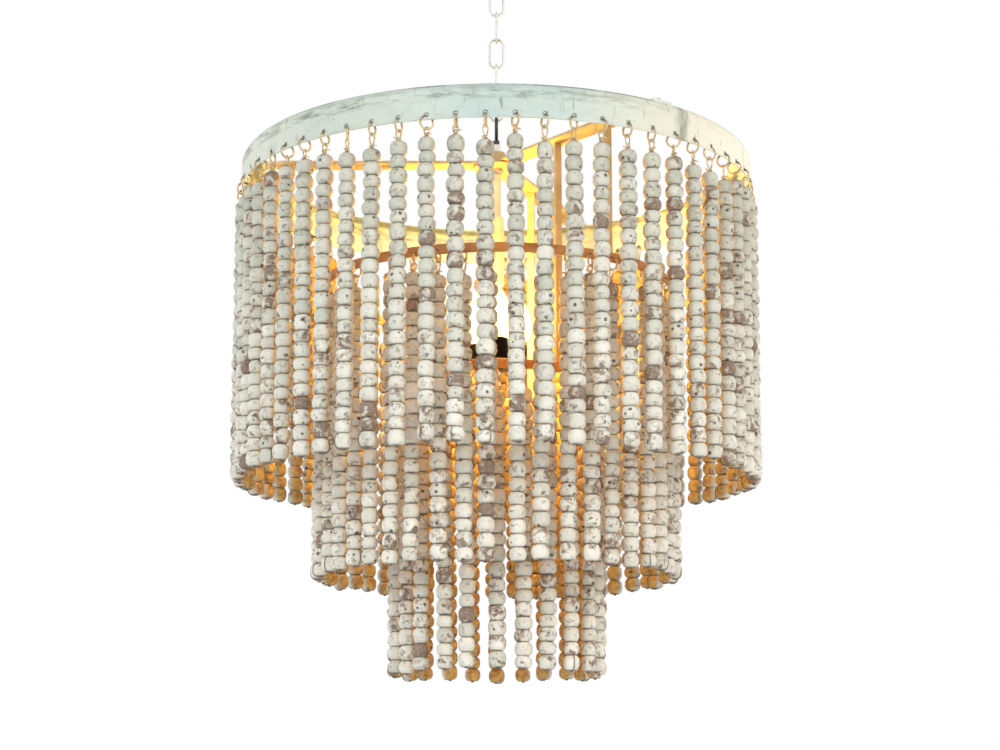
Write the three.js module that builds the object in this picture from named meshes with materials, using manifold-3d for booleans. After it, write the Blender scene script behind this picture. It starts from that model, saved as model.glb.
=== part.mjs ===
// Beaded chandelier: a canopy and chain carry a painted hoop, two rings and a lamp cluster.
// Each band carries a tier of wooden bead strands, which hang from wire rings in its lower edge.
// Millimetres, +Z up. The origin is on the ceiling, above the middle, so everything hangs below z = 0.
// An azimuth is counted in degrees from the front, which is -Y, towards +X.
import * as THREE from 'three';
import { mergeVertices, toCreasedNormals } from 'three/addons/utils/BufferGeometryUtils.js';
import Module from 'manifold-3d';

const wasm = await Module();
wasm.setup();

// Fits
const clearance = 0.3;
const cutOverrun = 1;

// Ceiling bracket: a flat bar with a threaded boss under its middle
const bracketLength = 90;
const bracketWidth = 22;
const bracketThickness = 2;
const bracketBossRadius = 8;
const bracketBossDepth = 10;
const bracketSlotLength = 14;
const bracketSlotWidth = 5;
const bracketSlotInset = 8;

// Canopy and the nut under it
const canopyRadius = 60;
const canopyHeight = 27;
const canopyWall = 1.5;
const canopyRimHeight = 9;
const canopyFlatRadius = 22;
const canopyNutRadius = 9;
const canopyNutHeight = 7.5;

// Loop under the canopy, which the chain hangs from
const loopStudRadius = 4;
const loopFlangeRadius = 5.5;
const loopFlangeHeight = 2.5;
const loopRadius = 11;
const loopRodRadius = 2;

// Chain
const linkCount = 5;
const linkLength = 35.4;
const linkWidth = 17.7;
const linkRodRadius = 1.3;

// Lifting eye of the fixture and its nut
const eyeRadius = 14;
const eyeRodRadius = 1.9;
const eyeNeckRadius = 3.5;
const eyeNeckHeight = 4.5;
const eyeShankRadius = 3;
const eyeShankInHub = 9;
const eyeNutRadius = 5.5;
const eyeNutHeight = 8.4;

// Hub: a boss with a flange, which the arms lie on, and the nut under it
const hubBossRadius = 10;
const hubBossHeight = 15.3;
const hubFlangeRadius = 25;
const hubFlangeHeight = 3;
const hubNutRadius = 7.5;
const hubNutHeight = 5;

// Arms, flat bars from the hub to the hoop, and the screw at the end of each
const armAzimuths = [38, 158, 270];
const armWidth = 24;
const armThickness = 3;
const armEndInset = 8;
const screwShankRadius = 1.8;
const screwShankLength = 9;
const screwHeadRadius = 4;
const screwHeadTopRadius = 2.8;
const screwHeadHeight = 2.6;

// Painted hoop: a band with a rounded shoulder and a lip turned in at its top
const hoopRadius = 271;
const hoopHeight = 36;
const hoopWall = 1.5;
const hoopShoulderRadius = 9;
const hoopLipWidth = 11;

// Middle and inner rings, flat bands
const ringHeight = 10;
const ringThickness = 2;
const midRingRadius = 184.5;
const midRingDrop = 134;
const innerRingRadius = 106;
const innerRingDrop = 233;

// Drop bars, which hang each ring from the arms
const dropWidth = 8;
const dropThickness = 3;
const dropLap = 3.5;

// Holes for the wire rings, in the lower edge of each band
const holeRadius = 2;
const holeRise = 5;
const holeSides = 6;

// Wire rings and the eyes of the strands
const wireRadius = 0.7;
const wireRingHeight = 13;
const wireRingSides = 8;
const eyeWireRadius = 1.2;
const strandEyeHeight = 7.3;

// Bead strands: the tiers differ in count, in the strands that share a curtain and in length
const beadRadius = 8.6;
const beadSides = 6;
const railHeight = 2.4;
const railThickness = 2.4;
const railInset = 1.2;
const swingAllowance = THREE.MathUtils.degToRad(20);
const outerStrands = { count: 60, perCurtain: 6, ringSteps: 1.5, firstAzimuth: 3.8, length: 298 };
const midStrands = { count: 45, perCurtain: 9, ringSteps: 3, firstAzimuth: 6, length: 290 };
const innerStrands = { count: 24, perCurtain: 6, ringSteps: 1.5, firstAzimuth: 0, length: 289 };

// Stem, its sleeve and the nut at its foot
const stemRadius = 4.75;
const stemSpigotRadius = 3;
const stemLength = 206.4;
const sleeveRadius = 8;
const sleeveLength = 72;
const sleeveDrop = 48;
const stemCollarRadius = 7;
const stemCollarHeight = 3;
const stemNutRadius = 6.5;
const stemNutHeight = 5;
const stemTailLength = 10;

// Lamp cluster: a plate with sockets and candle bulbs that stand on it
const lampCount = 3;
const lampCircleRadius = 23.5;
const plateRadius = 33;
const plateThickness = 3;
const socketRadius = 12;
const socketHeight = 21;
const socketBoreRadius = 7.1;
const socketBoreDepth = 17;
const bulbBaseHeight = 18;
const bulbRadius = 17.5;
const bulbHeight = 59.7;
const bulbWall = 1;
const bulbNeckRadius = 6.5;
const bulbMouthRadius = 4;

// Facets round each turned or bent piece
const hoopFacets = 60;
const midRingFacets = 48;
const innerRingFacets = 36;
const canopyFacets = 32;
const roundFacets = 20;
const smallFacets = 12;
const loopSteps = 16;
const bendSteps = 3;
const nutSides = 6;
const wireSides = 3;
const linkBowSteps = 6;
const linkSides = 6;
const barSides = 4;
const creaseAngle = THREE.MathUtils.degToRad(36);

// Heights, from the ceiling down
const boreTopZ = -bracketThickness;
const canopyNutTopZ = -canopyHeight - clearance;
const canopyNutBottomZ = canopyNutTopZ - canopyNutHeight;
const loopTopZ = canopyNutBottomZ - clearance;
const loopCentreZ = loopTopZ - loopRadius;
const loopHookZ = loopCentreZ - loopRadius + loopRodRadius;
const linkReach = linkLength - 2 * linkRodRadius;
const linkPitch = linkReach - 2 * linkRodRadius - clearance;
const firstLinkTopZ = loopHookZ + loopRodRadius + clearance + linkRodRadius;
const lastLinkBottomZ = firstLinkTopZ - (linkCount - 1) * linkPitch - linkReach;
const eyeTopZ = lastLinkBottomZ + linkRodRadius + clearance + eyeRodRadius;
const eyeCentreZ = eyeTopZ - eyeRadius + eyeRodRadius;
const eyeNeckBottomZ = eyeCentreZ - eyeRadius - eyeNeckHeight;
const eyeNutTopZ = eyeNeckBottomZ - clearance;
const eyeNutBottomZ = eyeNutTopZ - eyeNutHeight;
const hubTopZ = eyeNutBottomZ - clearance;
const hubFlangeTopZ = hubTopZ - hubBossHeight;
const hubBottomZ = hubFlangeTopZ - hubFlangeHeight;
const eyeShankBottomZ = hubTopZ - eyeShankInHub;
const armBottomZ = hubFlangeTopZ + clearance;
const armTopZ = armBottomZ + armThickness;
const hoopTopZ = armBottomZ - clearance;
const hoopBottomZ = hoopTopZ - hoopHeight;
const midRingTopZ = armBottomZ - midRingDrop;
const innerRingTopZ = armBottomZ - innerRingDrop;
const outerHoleZ = hoopBottomZ + holeRise;
const midHoleZ = midRingTopZ - ringHeight + holeRise;
const innerHoleZ = innerRingTopZ - ringHeight + holeRise;
const hubNutTopZ = hubBottomZ - clearance;
const stemTopZ = hubNutTopZ - hubNutHeight - clearance;
const stemBottomZ = stemTopZ - stemLength;
const sleeveTopZ = stemTopZ - sleeveDrop;
const sleeveBottomZ = sleeveTopZ - sleeveLength;
const plateTopZ = stemBottomZ - clearance;
const plateBottomZ = plateTopZ - plateThickness;
const stemNutTopZ = plateBottomZ - clearance;
const socketBottomZ = plateTopZ + clearance;
const socketTopZ = socketBottomZ + socketHeight;
const bulbBaseBottomZ = socketTopZ - socketBoreDepth + clearance;
const bulbBottomZ = bulbBaseBottomZ + bulbBaseHeight + clearance;

// Places out from the axis
const smallestArmAngle = THREE.MathUtils.degToRad(Math.min(
  ...armAzimuths.map((azimuth, i) => (armAzimuths[(i + 1) % armAzimuths.length] - azimuth + 360) % 360)));
const armInnerRadius = Math.max(hubBossRadius, armWidth / 2 / Math.tan(smallestArmAngle / 2)) + clearance;
const armOuterRadius = hoopRadius - armEndInset;
const hoopLipInnerRadius = hoopRadius - hoopShoulderRadius - hoopLipWidth;
const screwCircleRadius = hoopRadius - hoopShoulderRadius - hoopLipWidth / 2;
const outerStrandRadius = hoopRadius - hoopWall / 2;

// Finishes
const finishes = {
  paint: { color: 0xd3e2de, roughness: 0.6, metalness: 0 },
  steel: { color: 0xc9c4ae, roughness: 0.45, metalness: 0.8 },
  gilt: { color: 0xd9a24a, roughness: 0.5, metalness: 0.6 },
  chain: { color: 0xe8e8e4, roughness: 0.4, metalness: 0.4 },
  black: { color: 0x1c1a18, roughness: 0.5, metalness: 0.3 },
  brass: { color: 0xc8a050, roughness: 0.35, metalness: 0.9 },
  glass: { color: 0xfff1c8, roughness: 0.1, metalness: 0 },
  bead: { color: 0xd6d6ca, roughness: 0.85, metalness: 0 },
};

// Turns a closed three.js geometry into a solid, with shared corners merged and faces outwards.
function solid(geometry) {
  const bare = geometry.clone();
  bare.deleteAttribute('normal');
  bare.deleteAttribute('uv');
  const merged = mergeVertices(bare);
  const triangles = [];
  const source = merged.index.array;
  for (let i = 0; i < source.length; i += 3) {
    const [a, b, c] = source.slice(i, i + 3);
    if (a !== b && b !== c && c !== a) {
      triangles.push(a, b, c);
    }
  }
  const corners = merged.attributes.position.array;
  if (signedVolume(corners, triangles) < 0) {
    triangles.reverse();
  }
  return new wasm.Manifold(new wasm.Mesh({
    numProp: 3,
    vertProperties: new Float32Array(corners),
    triVerts: new Uint32Array(triangles),
  }));
}

// Volume inside a closed mesh, negative when its faces point inwards.
function signedVolume(corners, triangles) {
  const a = new THREE.Vector3();
  const b = new THREE.Vector3();
  const c = new THREE.Vector3();
  let volume = 0;
  for (let i = 0; i < triangles.length; i += 3) {
    a.fromArray(corners, 3 * triangles[i]);
    b.fromArray(corners, 3 * triangles[i + 1]);
    c.fromArray(corners, 3 * triangles[i + 2]);
    volume += a.dot(b.cross(c)) / 6;
  }
  return volume;
}

// Turns a solid back into a geometry, with smooth shading below a shallow crease.
function surface(shape) {
  const mesh = shape.getMesh();
  const corners = [];
  for (let i = 0; i < mesh.vertProperties.length; i += mesh.numProp) {
    corners.push(...mesh.vertProperties.slice(i, i + 3));
  }
  const geometry = new THREE.BufferGeometry();
  geometry.setAttribute('position', new THREE.Float32BufferAttribute(corners, 3));
  geometry.setIndex([...mesh.triVerts]);
  return toCreasedNormals(geometry, creaseAngle);
}

function join(...geometries) {
  return surface(geometries.map(solid).reduce((whole, part) => whole.add(part)));
}

function cut(geometry, ...tools) {
  return surface(tools.map(solid).reduce((whole, tool) => whole.subtract(tool), solid(geometry)));
}

// Revolves a profile of [radius, z] points about Z. A profile off the axis is closed on itself.
function turned(profile, facets) {
  const line = profile.map(([radius, z]) => new THREE.Vector2(radius, z));
  const onAxis = line[0].x === 0 && line[line.length - 1].x === 0;
  if (!onAxis) {
    line.push(line[0].clone());
  }
  return new THREE.LatheGeometry(line, facets).rotateX(Math.PI / 2);
}

// A disc or rod about Z, between two heights.
function rod(radius, topZ, bottomZ, facets) {
  return turned([[0, bottomZ], [radius, bottomZ], [radius, topZ], [0, topZ]], facets);
}

// A collar about Z, with a hole through it.
function collar(radius, boreRadius, topZ, bottomZ, facets) {
  return turned([[boreRadius, bottomZ], [radius, bottomZ], [radius, topZ], [boreRadius, topZ]], facets);
}

// Radius of a faceted hole whose flats clear a rod of the given radius.
function boreRadius(rodRadius, facets) {
  return (rodRadius + clearance) / Math.cos(Math.PI / facets);
}

// A six-sided nut about Z, bored for a rod.
function nut(radius, rodRadius, topZ, bottomZ) {
  const bore = rod(boreRadius(rodRadius, smallFacets), topZ + cutOverrun, bottomZ - cutOverrun, smallFacets);
  return cut(rod(radius, topZ, bottomZ, nutSides), bore);
}

// A flat bar, given by its lowest and highest corners.
function bar(low, high) {
  const size = high.map((value, i) => value - low[i]);
  const centre = high.map((value, i) => (value + low[i]) / 2);
  return new THREE.BoxGeometry(...size).translate(...centre);
}

// A flat bar bent round the axis in straight lengths, with a corner at each azimuth.
function bentBar(azimuths, radius, thickness, topZ, bottomZ) {
  const corners = azimuths.flatMap((azimuth) => {
    const angle = THREE.MathUtils.degToRad(azimuth);
    const reaches = [radius - thickness / 2, radius + thickness / 2];
    return [[reaches[0], bottomZ], [reaches[1], bottomZ], [reaches[1], topZ], [reaches[0], topZ]]
      .flatMap(([reach, z]) => [reach * Math.sin(angle), -reach * Math.cos(angle), z]);
  });
  const triangles = [0, 1, 2, 0, 2, 3];
  for (let i = 0; i < azimuths.length - 1; i++) {
    for (let j = 0; j < barSides; j++) {
      const here = i * barSides + j;
      const beside = i * barSides + (j + 1) % barSides;
      triangles.push(here, here + barSides, beside + barSides, here, beside + barSides, beside);
    }
  }
  const last = (azimuths.length - 1) * barSides;
  triangles.push(last, last + 2, last + 1, last, last + 3, last + 2);
  const geometry = new THREE.BufferGeometry();
  geometry.setAttribute('position', new THREE.Float32BufferAttribute(corners, 3));
  geometry.setIndex(triangles);
  geometry.computeVertexNormals();
  return geometry;
}

// Bends round rod along a closed flat path of [x, z] points, which runs from +X towards +Z.
// Each corner is a mitre, so that the rod keeps its thickness along the straight stretches.
function closedRod(path, radius, sides) {
  const points = path.map(([x, z]) => new THREE.Vector2(x, z));
  const count = points.length;
  const corners = [];
  const triangles = [];
  points.forEach((point, i) => {
    const arriving = point.clone().sub(points[(i + count - 1) % count]).normalize();
    const leaving = points[(i + 1) % count].clone().sub(point).normalize();
    const along = arriving.clone().add(leaving).normalize();
    const mitre = 1 / arriving.dot(along);
    for (let j = 0; j < sides; j++) {
      const angle = 2 * Math.PI * j / sides;
      const reach = radius * Math.cos(angle) * mitre;
      corners.push(point.x + along.y * reach, radius * Math.sin(angle), point.y - along.x * reach);
      const here = i * sides + j;
      const beside = i * sides + (j + 1) % sides;
      const next = ((i + 1) % count) * sides + j;
      const nextBeside = ((i + 1) % count) * sides + (j + 1) % sides;
      triangles.push(here, beside, nextBeside, here, nextBeside, next);
    }
  });
  const geometry = new THREE.BufferGeometry();
  geometry.setAttribute('position', new THREE.Float32BufferAttribute(corners, 3));
  geometry.setIndex(triangles);
  geometry.computeVertexNormals();
  return geometry;
}

// A round path of [x, z] points about a centre on the axis. Turned by half a step, its top is flat.
function circlePath(radius, centreZ, steps, turn) {
  return Array.from({ length: steps }, (_, i) => {
    const angle = 2 * Math.PI * (i + turn) / steps;
    return [radius * Math.cos(angle), centreZ + radius * Math.sin(angle)];
  });
}

// The centre line of a chain link: two half rounds and the straight sides between them.
function linkPath(topZ) {
  const bowRadius = linkWidth / 2 - linkRodRadius;
  const bows = [topZ - bowRadius, topZ - linkReach + bowRadius];
  return bows.flatMap((centreZ, bow) => Array.from({ length: linkBowSteps + 1 }, (_, i) => {
    const angle = Math.PI * (i / linkBowSteps + bow);
    return [bowRadius * Math.cos(angle), centreZ + bowRadius * Math.sin(angle)];
  }));
}

// A line of [radius, z] points down the canopy's side and round to its flat middle.
function domeLine(rimRadius, depth, flatRadius) {
  const bend = Array.from({ length: bendSteps + 1 }, (_, i) => {
    const angle = Math.PI / 2 * i / bendSteps;
    return [
      flatRadius + (rimRadius - flatRadius) * Math.cos(angle),
      -canopyRimHeight - (depth - canopyRimHeight) * Math.sin(angle),
    ];
  });
  return [[rimRadius, 0], ...bend];
}

// Points of a quarter turn about a centre, from pointing out to pointing up.
function quarterLine(centreRadius, centreZ, radius, steps) {
  return Array.from({ length: steps + 1 }, (_, i) => {
    const angle = Math.PI / 2 * i / steps;
    return [centreRadius + radius * Math.cos(angle), centreZ + radius * Math.sin(angle)];
  });
}

// A cutter for a hole through a band at one azimuth, pointing out from the axis.
function bandHole(azimuth, radius, z, thickness) {
  const across = thickness + 2 * cutOverrun;
  return new THREE.CylinderGeometry(holeRadius, holeRadius, across, holeSides)
    .rotateY(Math.PI / holeSides)
    .translate(0, -radius, z)
    .rotateZ(THREE.MathUtils.degToRad(azimuth));
}

const chandelier = new THREE.Group();

function add(name, geometry, finish, azimuth = 0) {
  const mesh = new THREE.Mesh(geometry, new THREE.MeshStandardMaterial(finishes[finish]));
  mesh.name = name;
  const turn = new THREE.Group();
  turn.rotation.z = THREE.MathUtils.degToRad(azimuth);
  turn.add(mesh);
  chandelier.add(turn);
  return mesh;
}

// The wire ring's straight top lies in its hole with a clearance left all through its swing.
// The band's flats lie a little nearer to the axis than its corners do.
function wireHookZ(radius, holeZ, bandThickness, facets) {
  const holeFloor = holeRadius * Math.cos(Math.PI / holeSides);
  const flatInset = radius * (1 - Math.cos(Math.PI / facets));
  return holeZ - holeFloor + clearance + wireRadius
    + (bandThickness / 2 + flatInset) * Math.tan(swingAllowance);
}

// Azimuths of the strands of one curtain, counted from the curtain's middle.
function strandAzimuths(tier) {
  const step = 360 / tier.count;
  return Array.from({ length: tier.perCurtain }, (_, i) => (i - (tier.perCurtain - 1) / 2) * step);
}

// Azimuths of a tier's curtains.
function curtainAzimuths(tier) {
  const step = 360 / tier.count;
  const first = tier.firstAzimuth + (tier.perCurtain - 1) / 2 * step;
  return Array.from({ length: tier.count / tier.perCurtain }, (_, i) => first + i * step * tier.perCurtain);
}

// Azimuths of the holes that a tier's wire rings hang in.
function holeAzimuths(tier) {
  const reach = tier.ringSteps * 360 / tier.count;
  return curtainAzimuths(tier).flatMap((azimuth) => [azimuth - reach, azimuth + reach]);
}

// One curtain: its strands, the rail that joins their heads, and the wire rings that carry it.
function curtain(tier, radius, hookZ) {
  const wireRingCentreZ = hookZ - wireRingHeight / 2;
  const wireRingCorner = wireRingHeight / 2 / Math.cos(Math.PI / wireRingSides);
  const eyeTop = hookZ - wireRingHeight;
  const headZ = eyeTop - strandEyeHeight;
  const azimuths = strandAzimuths(tier);
  const place = (geometry, azimuth) => geometry
    .translate(0, -radius, 0)
    .rotateZ(THREE.MathUtils.degToRad(azimuth));
  const strands = azimuths.map((azimuth) => place(rod(beadRadius, headZ, headZ - tier.length, beadSides), azimuth));
  const rail = bentBar(azimuths, radius, railThickness, headZ - railInset, headZ - railInset - railHeight);
  const reach = tier.ringSteps * 360 / tier.count;
  const wires = [-reach, reach].flatMap((azimuth) => [
    place(closedRod(circlePath(wireRingCorner, wireRingCentreZ, wireRingSides, 1 / 2), wireRadius, wireSides)
      .rotateZ(Math.PI / 2), azimuth),
    place(rod(eyeWireRadius, eyeTop, headZ - railInset, wireSides), azimuth),
  ]);
  return join(...strands, rail, ...wires);
}

// Ceiling bracket
function buildBracket() {
  const half = bracketLength / 2;
  const plate = bar([-half, -bracketWidth / 2, -bracketThickness], [half, bracketWidth / 2, 0]);
  const boss = rod(bracketBossRadius, -bracketThickness / 2, -bracketThickness - bracketBossDepth, roundFacets);
  const bore = rod(
    boreRadius(loopStudRadius, roundFacets), boreTopZ, boreTopZ - bracketBossDepth - cutOverrun, roundFacets);
  const slots = [-1, 1].map((side) => {
    const outer = half - bracketSlotInset;
    const inner = outer - bracketSlotLength;
    const low = side < 0 ? -outer : inner;
    return bar(
      [low, -bracketSlotWidth / 2, -bracketThickness - cutOverrun],
      [low + bracketSlotLength, bracketSlotWidth / 2, cutOverrun]);
  });
  add('canopy_bracket', cut(join(plate, boss), bore, ...slots), 'steel');
}

// Canopy and its nut
function buildCanopy() {
  const hole = boreRadius(loopStudRadius, roundFacets);
  const outside = domeLine(canopyRadius, canopyHeight, canopyFlatRadius);
  const inside = domeLine(canopyRadius - canopyWall, canopyHeight - canopyWall, canopyFlatRadius - canopyWall);
  const profile = [...outside, [hole, -canopyHeight], [hole, -canopyHeight + canopyWall], ...inside.reverse()];
  add('canopy', surface(solid(turned(profile, canopyFacets))), 'chain');
  const ringNut = collar(canopyNutRadius, hole, canopyNutTopZ, canopyNutBottomZ, roundFacets);
  add('canopy_nut', surface(solid(ringNut)), 'chain');
}

// Loop under the canopy: a stud, a flange and a ring that stands edge-on to the front
function buildLoop() {
  const stud = rod(loopStudRadius, boreTopZ - clearance, loopTopZ - loopFlangeHeight, roundFacets);
  const flange = rod(loopFlangeRadius, loopTopZ, loopTopZ - loopFlangeHeight, roundFacets);
  const ring = closedRod(circlePath(loopRadius - loopRodRadius, loopCentreZ, loopSteps, 0), loopRodRadius, linkSides);
  add('canopy_loop', join(stud, flange, ring.rotateZ(Math.PI / 2)), 'chain');
}

// Chain: every other link stands edge-on
function buildChain() {
  for (let i = 0; i < linkCount; i++) {
    const link = closedRod(linkPath(firstLinkTopZ - i * linkPitch), linkRodRadius, linkSides);
    add(`chain_link_${i + 1}`, link.rotateZ(i % 2 * Math.PI / 2), 'chain');
  }
}

// Lifting eye, its nut, the hub and the hub's nut
function buildHub() {
  const bore = boreRadius(Math.max(eyeShankRadius, stemSpigotRadius), roundFacets);
  const ring = closedRod(circlePath(eyeRadius - eyeRodRadius, eyeCentreZ, loopSteps, 0), eyeRodRadius, linkSides);
  const neck = rod(eyeNeckRadius, eyeCentreZ - eyeRadius + eyeRodRadius, eyeNeckBottomZ, smallFacets);
  const shank = rod(eyeShankRadius, eyeNeckBottomZ + eyeNeckHeight / 2, eyeShankBottomZ, smallFacets);
  add('fixture_eye', join(ring.rotateZ(Math.PI / 2), neck, shank), 'black');
  add('eye_nut', nut(eyeNutRadius, eyeShankRadius, eyeNutTopZ, eyeNutBottomZ), 'chain');
  const hub = turned([
    [bore, hubBottomZ],
    [hubFlangeRadius, hubBottomZ],
    [hubFlangeRadius, hubFlangeTopZ],
    [hubBossRadius, hubFlangeTopZ],
    [hubBossRadius, hubTopZ],
    [bore, hubTopZ],
  ], roundFacets);
  add('hub', surface(solid(hub)), 'gilt');
  add('hub_nut', nut(hubNutRadius, stemSpigotRadius, hubNutTopZ, hubNutTopZ - hubNutHeight), 'steel');
}

// A cutter for a screw's hole through a sheet, at the front of the screws' circle
function screwHole(topZ, bottomZ) {
  const radius = boreRadius(screwShankRadius, smallFacets);
  return rod(radius, topZ + cutOverrun, bottomZ - cutOverrun, smallFacets).translate(0, -screwCircleRadius, 0);
}

// Arms on the hub's flange and the hoop's lip, each held down by a screw near its end
function buildArms() {
  armAzimuths.forEach((azimuth, i) => {
    const arm = bar(
      [-armWidth / 2, -armOuterRadius, armBottomZ],
      [armWidth / 2, -armInnerRadius, armTopZ]);
    const hole = screwHole(armTopZ, armBottomZ);
    add(`spider_arm_${i + 1}`, cut(arm, hole), 'gilt', azimuth);
    const headZ = armTopZ + clearance;
    const screw = turned([
      [0, headZ - screwShankLength],
      [screwShankRadius, headZ - screwShankLength],
      [screwShankRadius, headZ],
      [screwHeadRadius, headZ],
      [screwHeadTopRadius, headZ + screwHeadHeight],
      [0, headZ + screwHeadHeight],
    ], smallFacets).translate(0, -screwCircleRadius, 0);
    add(`rim_screw_${i + 1}`, surface(solid(screw)), 'steel', azimuth);
  });
}

// Painted hoop
function buildHoop() {
  const shoulderCentreRadius = hoopRadius - hoopShoulderRadius;
  const shoulderCentreZ = hoopTopZ - hoopShoulderRadius;
  const outside = quarterLine(shoulderCentreRadius, shoulderCentreZ, hoopShoulderRadius, bendSteps);
  const inside = quarterLine(shoulderCentreRadius, shoulderCentreZ, hoopShoulderRadius - hoopWall, bendSteps - 1);
  const profile = [
    [hoopRadius, hoopBottomZ],
    ...outside,
    [hoopLipInnerRadius, hoopTopZ],
    [hoopLipInnerRadius, hoopTopZ - hoopWall],
    ...inside.reverse(),
    [hoopRadius - hoopWall, hoopBottomZ],
  ];
  const holes = holeAzimuths(outerStrands)
    .map((azimuth) => bandHole(azimuth, outerStrandRadius, outerHoleZ, hoopWall));
  const screwHoles = armAzimuths
    .map((azimuth) => screwHole(hoopTopZ, hoopTopZ - hoopWall).rotateZ(THREE.MathUtils.degToRad(azimuth)));
  add('hoop', cut(turned(profile, hoopFacets), ...holes, ...screwHoles), 'paint');
}

// A flat band with its holes, and the three bars that hang it from the arms
function buildRing(name, dropName, tier, radius, topZ, holeZ, facets) {
  const band = collar(radius + ringThickness / 2, radius - ringThickness / 2, topZ, topZ - ringHeight, facets);
  const holes = holeAzimuths(tier)
    .map((azimuth) => bandHole(azimuth, radius, holeZ, ringThickness));
  add(name, cut(band, ...holes), 'gilt');
  const dropOuter = (radius - ringThickness / 2) * Math.cos(Math.PI / facets) - clearance;
  armAzimuths.forEach((azimuth, i) => {
    const drop = bar(
      [-dropWidth / 2, -dropOuter, topZ - dropLap],
      [dropWidth / 2, -dropOuter + dropThickness, armBottomZ - clearance]);
    add(`${dropName}_${i + 1}`, drop, 'gilt', azimuth);
  });
}

// Stem with its spigots and collar, the sleeve that stands on the collar, and the nut at its foot
function buildStem() {
  const collarTopZ = sleeveBottomZ - clearance;
  const stem = turned([
    [0, stemNutTopZ - stemTailLength],
    [stemSpigotRadius, stemNutTopZ - stemTailLength],
    [stemSpigotRadius, stemBottomZ],
    [stemRadius, stemBottomZ],
    [stemRadius, collarTopZ - stemCollarHeight],
    [stemCollarRadius, collarTopZ - stemCollarHeight],
    [stemCollarRadius, collarTopZ],
    [stemRadius, collarTopZ],
    [stemRadius, stemTopZ],
    [stemSpigotRadius, stemTopZ],
    [stemSpigotRadius, eyeShankBottomZ - clearance],
    [0, eyeShankBottomZ - clearance],
  ], smallFacets);
  add('stem', surface(solid(stem)), 'steel');
  const sleeve = collar(sleeveRadius, boreRadius(stemRadius, roundFacets), sleeveTopZ, sleeveBottomZ, roundFacets);
  add('stem_sleeve', surface(solid(sleeve)), 'steel');
  add('stem_nut', nut(stemNutRadius, stemSpigotRadius, stemNutTopZ, stemNutTopZ - stemNutHeight), 'black');
}

// A candle bulb's outside as [radius, z] points: a neck, a swell at a third of its height and a tip.
// The swell and the tip are the shares of the bulb's height and radius that such bulbs have.
function bulbLine(radius, height, neckRadius, bottomZ) {
  const heightShares = [0, 0.1, 0.22, 0.38, 0.58, 0.78, 0.92];
  const swellShares = [0, 0.3, 0.8, 1, 0.86, 0.48, 0.18];
  const side = heightShares.map((share, i) => {
    const foot = i < heightShares.length / 2 ? neckRadius : 0;
    return [foot + (radius - foot) * swellShares[i], bottomZ + height * share];
  });
  return [...side, [0, bottomZ + height]];
}

// Lamp cluster
function buildLamps() {
  const plate = collar(
    plateRadius, boreRadius(stemSpigotRadius, roundFacets), plateTopZ, plateBottomZ, roundFacets);
  add('cluster_plate', surface(solid(plate)), 'black');
  for (let i = 0; i < lampCount; i++) {
    const azimuth = 360 / lampCount * i;
    const socket = turned([
      [0, socketBottomZ],
      [socketRadius, socketBottomZ],
      [socketRadius, socketTopZ],
      [socketBoreRadius, socketTopZ],
      [socketBoreRadius, socketTopZ - socketBoreDepth],
      [0, socketTopZ - socketBoreDepth],
    ], smallFacets);
    const base = rod(socketBoreRadius - clearance, bulbBaseBottomZ + bulbBaseHeight, bulbBaseBottomZ, smallFacets);
    const outside = bulbLine(bulbRadius, bulbHeight, bulbNeckRadius, bulbBottomZ);
    const inside = bulbLine(bulbRadius - bulbWall, bulbHeight - 2 * bulbWall, bulbMouthRadius, bulbBottomZ + bulbWall);
    const glass = turned([...inside.reverse(), [bulbMouthRadius, bulbBottomZ], ...outside], smallFacets);
    const pieces = [['socket', socket, 'black'], ['bulb_base', base, 'brass'], ['bulb_glass', glass, 'glass']];
    pieces.forEach(([name, geometry, finish]) => {
      add(`${name}_${i + 1}`, surface(solid(geometry.translate(0, -lampCircleRadius, 0))), finish, azimuth);
    });
  }
}

// A tier of curtains
function buildTier(name, tier, radius, holeZ, bandThickness, facets) {
  const hookZ = wireHookZ(radius, holeZ, bandThickness, facets);
  const azimuths = curtainAzimuths(tier);
  const digits = String(azimuths.length).length;
  azimuths.forEach((azimuth, i) => {
    const number = String(i + 1).padStart(digits, '0');
    add(`${name}_${number}`, curtain(tier, radius, hookZ), 'bead', azimuth);
  });
}

buildBracket();
buildCanopy();
buildLoop();
buildChain();
buildHub();
buildArms();
buildHoop();
buildRing('mid_ring', 'mid_drop', midStrands, midRingRadius, midRingTopZ, midHoleZ, midRingFacets);
buildRing('inner_ring', 'inner_drop', innerStrands, innerRingRadius, innerRingTopZ, innerHoleZ, innerRingFacets);
buildStem();
buildLamps();
buildTier('outer_strands', outerStrands, outerStrandRadius, outerHoleZ, hoopWall, hoopFacets);
buildTier('mid_strands', midStrands, midRingRadius, midHoleZ, ringThickness, midRingFacets);
buildTier('inner_strands', innerStrands, innerRingRadius, innerHoleZ, ringThickness, innerRingFacets);

export default chandelier;
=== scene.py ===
# %% [markdown]
# # A beaded chandelier
#
# A painted steel hoop hangs from a ceiling chain, and 129 strands of limewashed wooden
# beads hang from it in three tiers around three warm lamps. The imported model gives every
# part its place and its motion. This lesson dresses it: finer metalwork, separate beads on
# their cords, and the finishes.

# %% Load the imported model
import math

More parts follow.
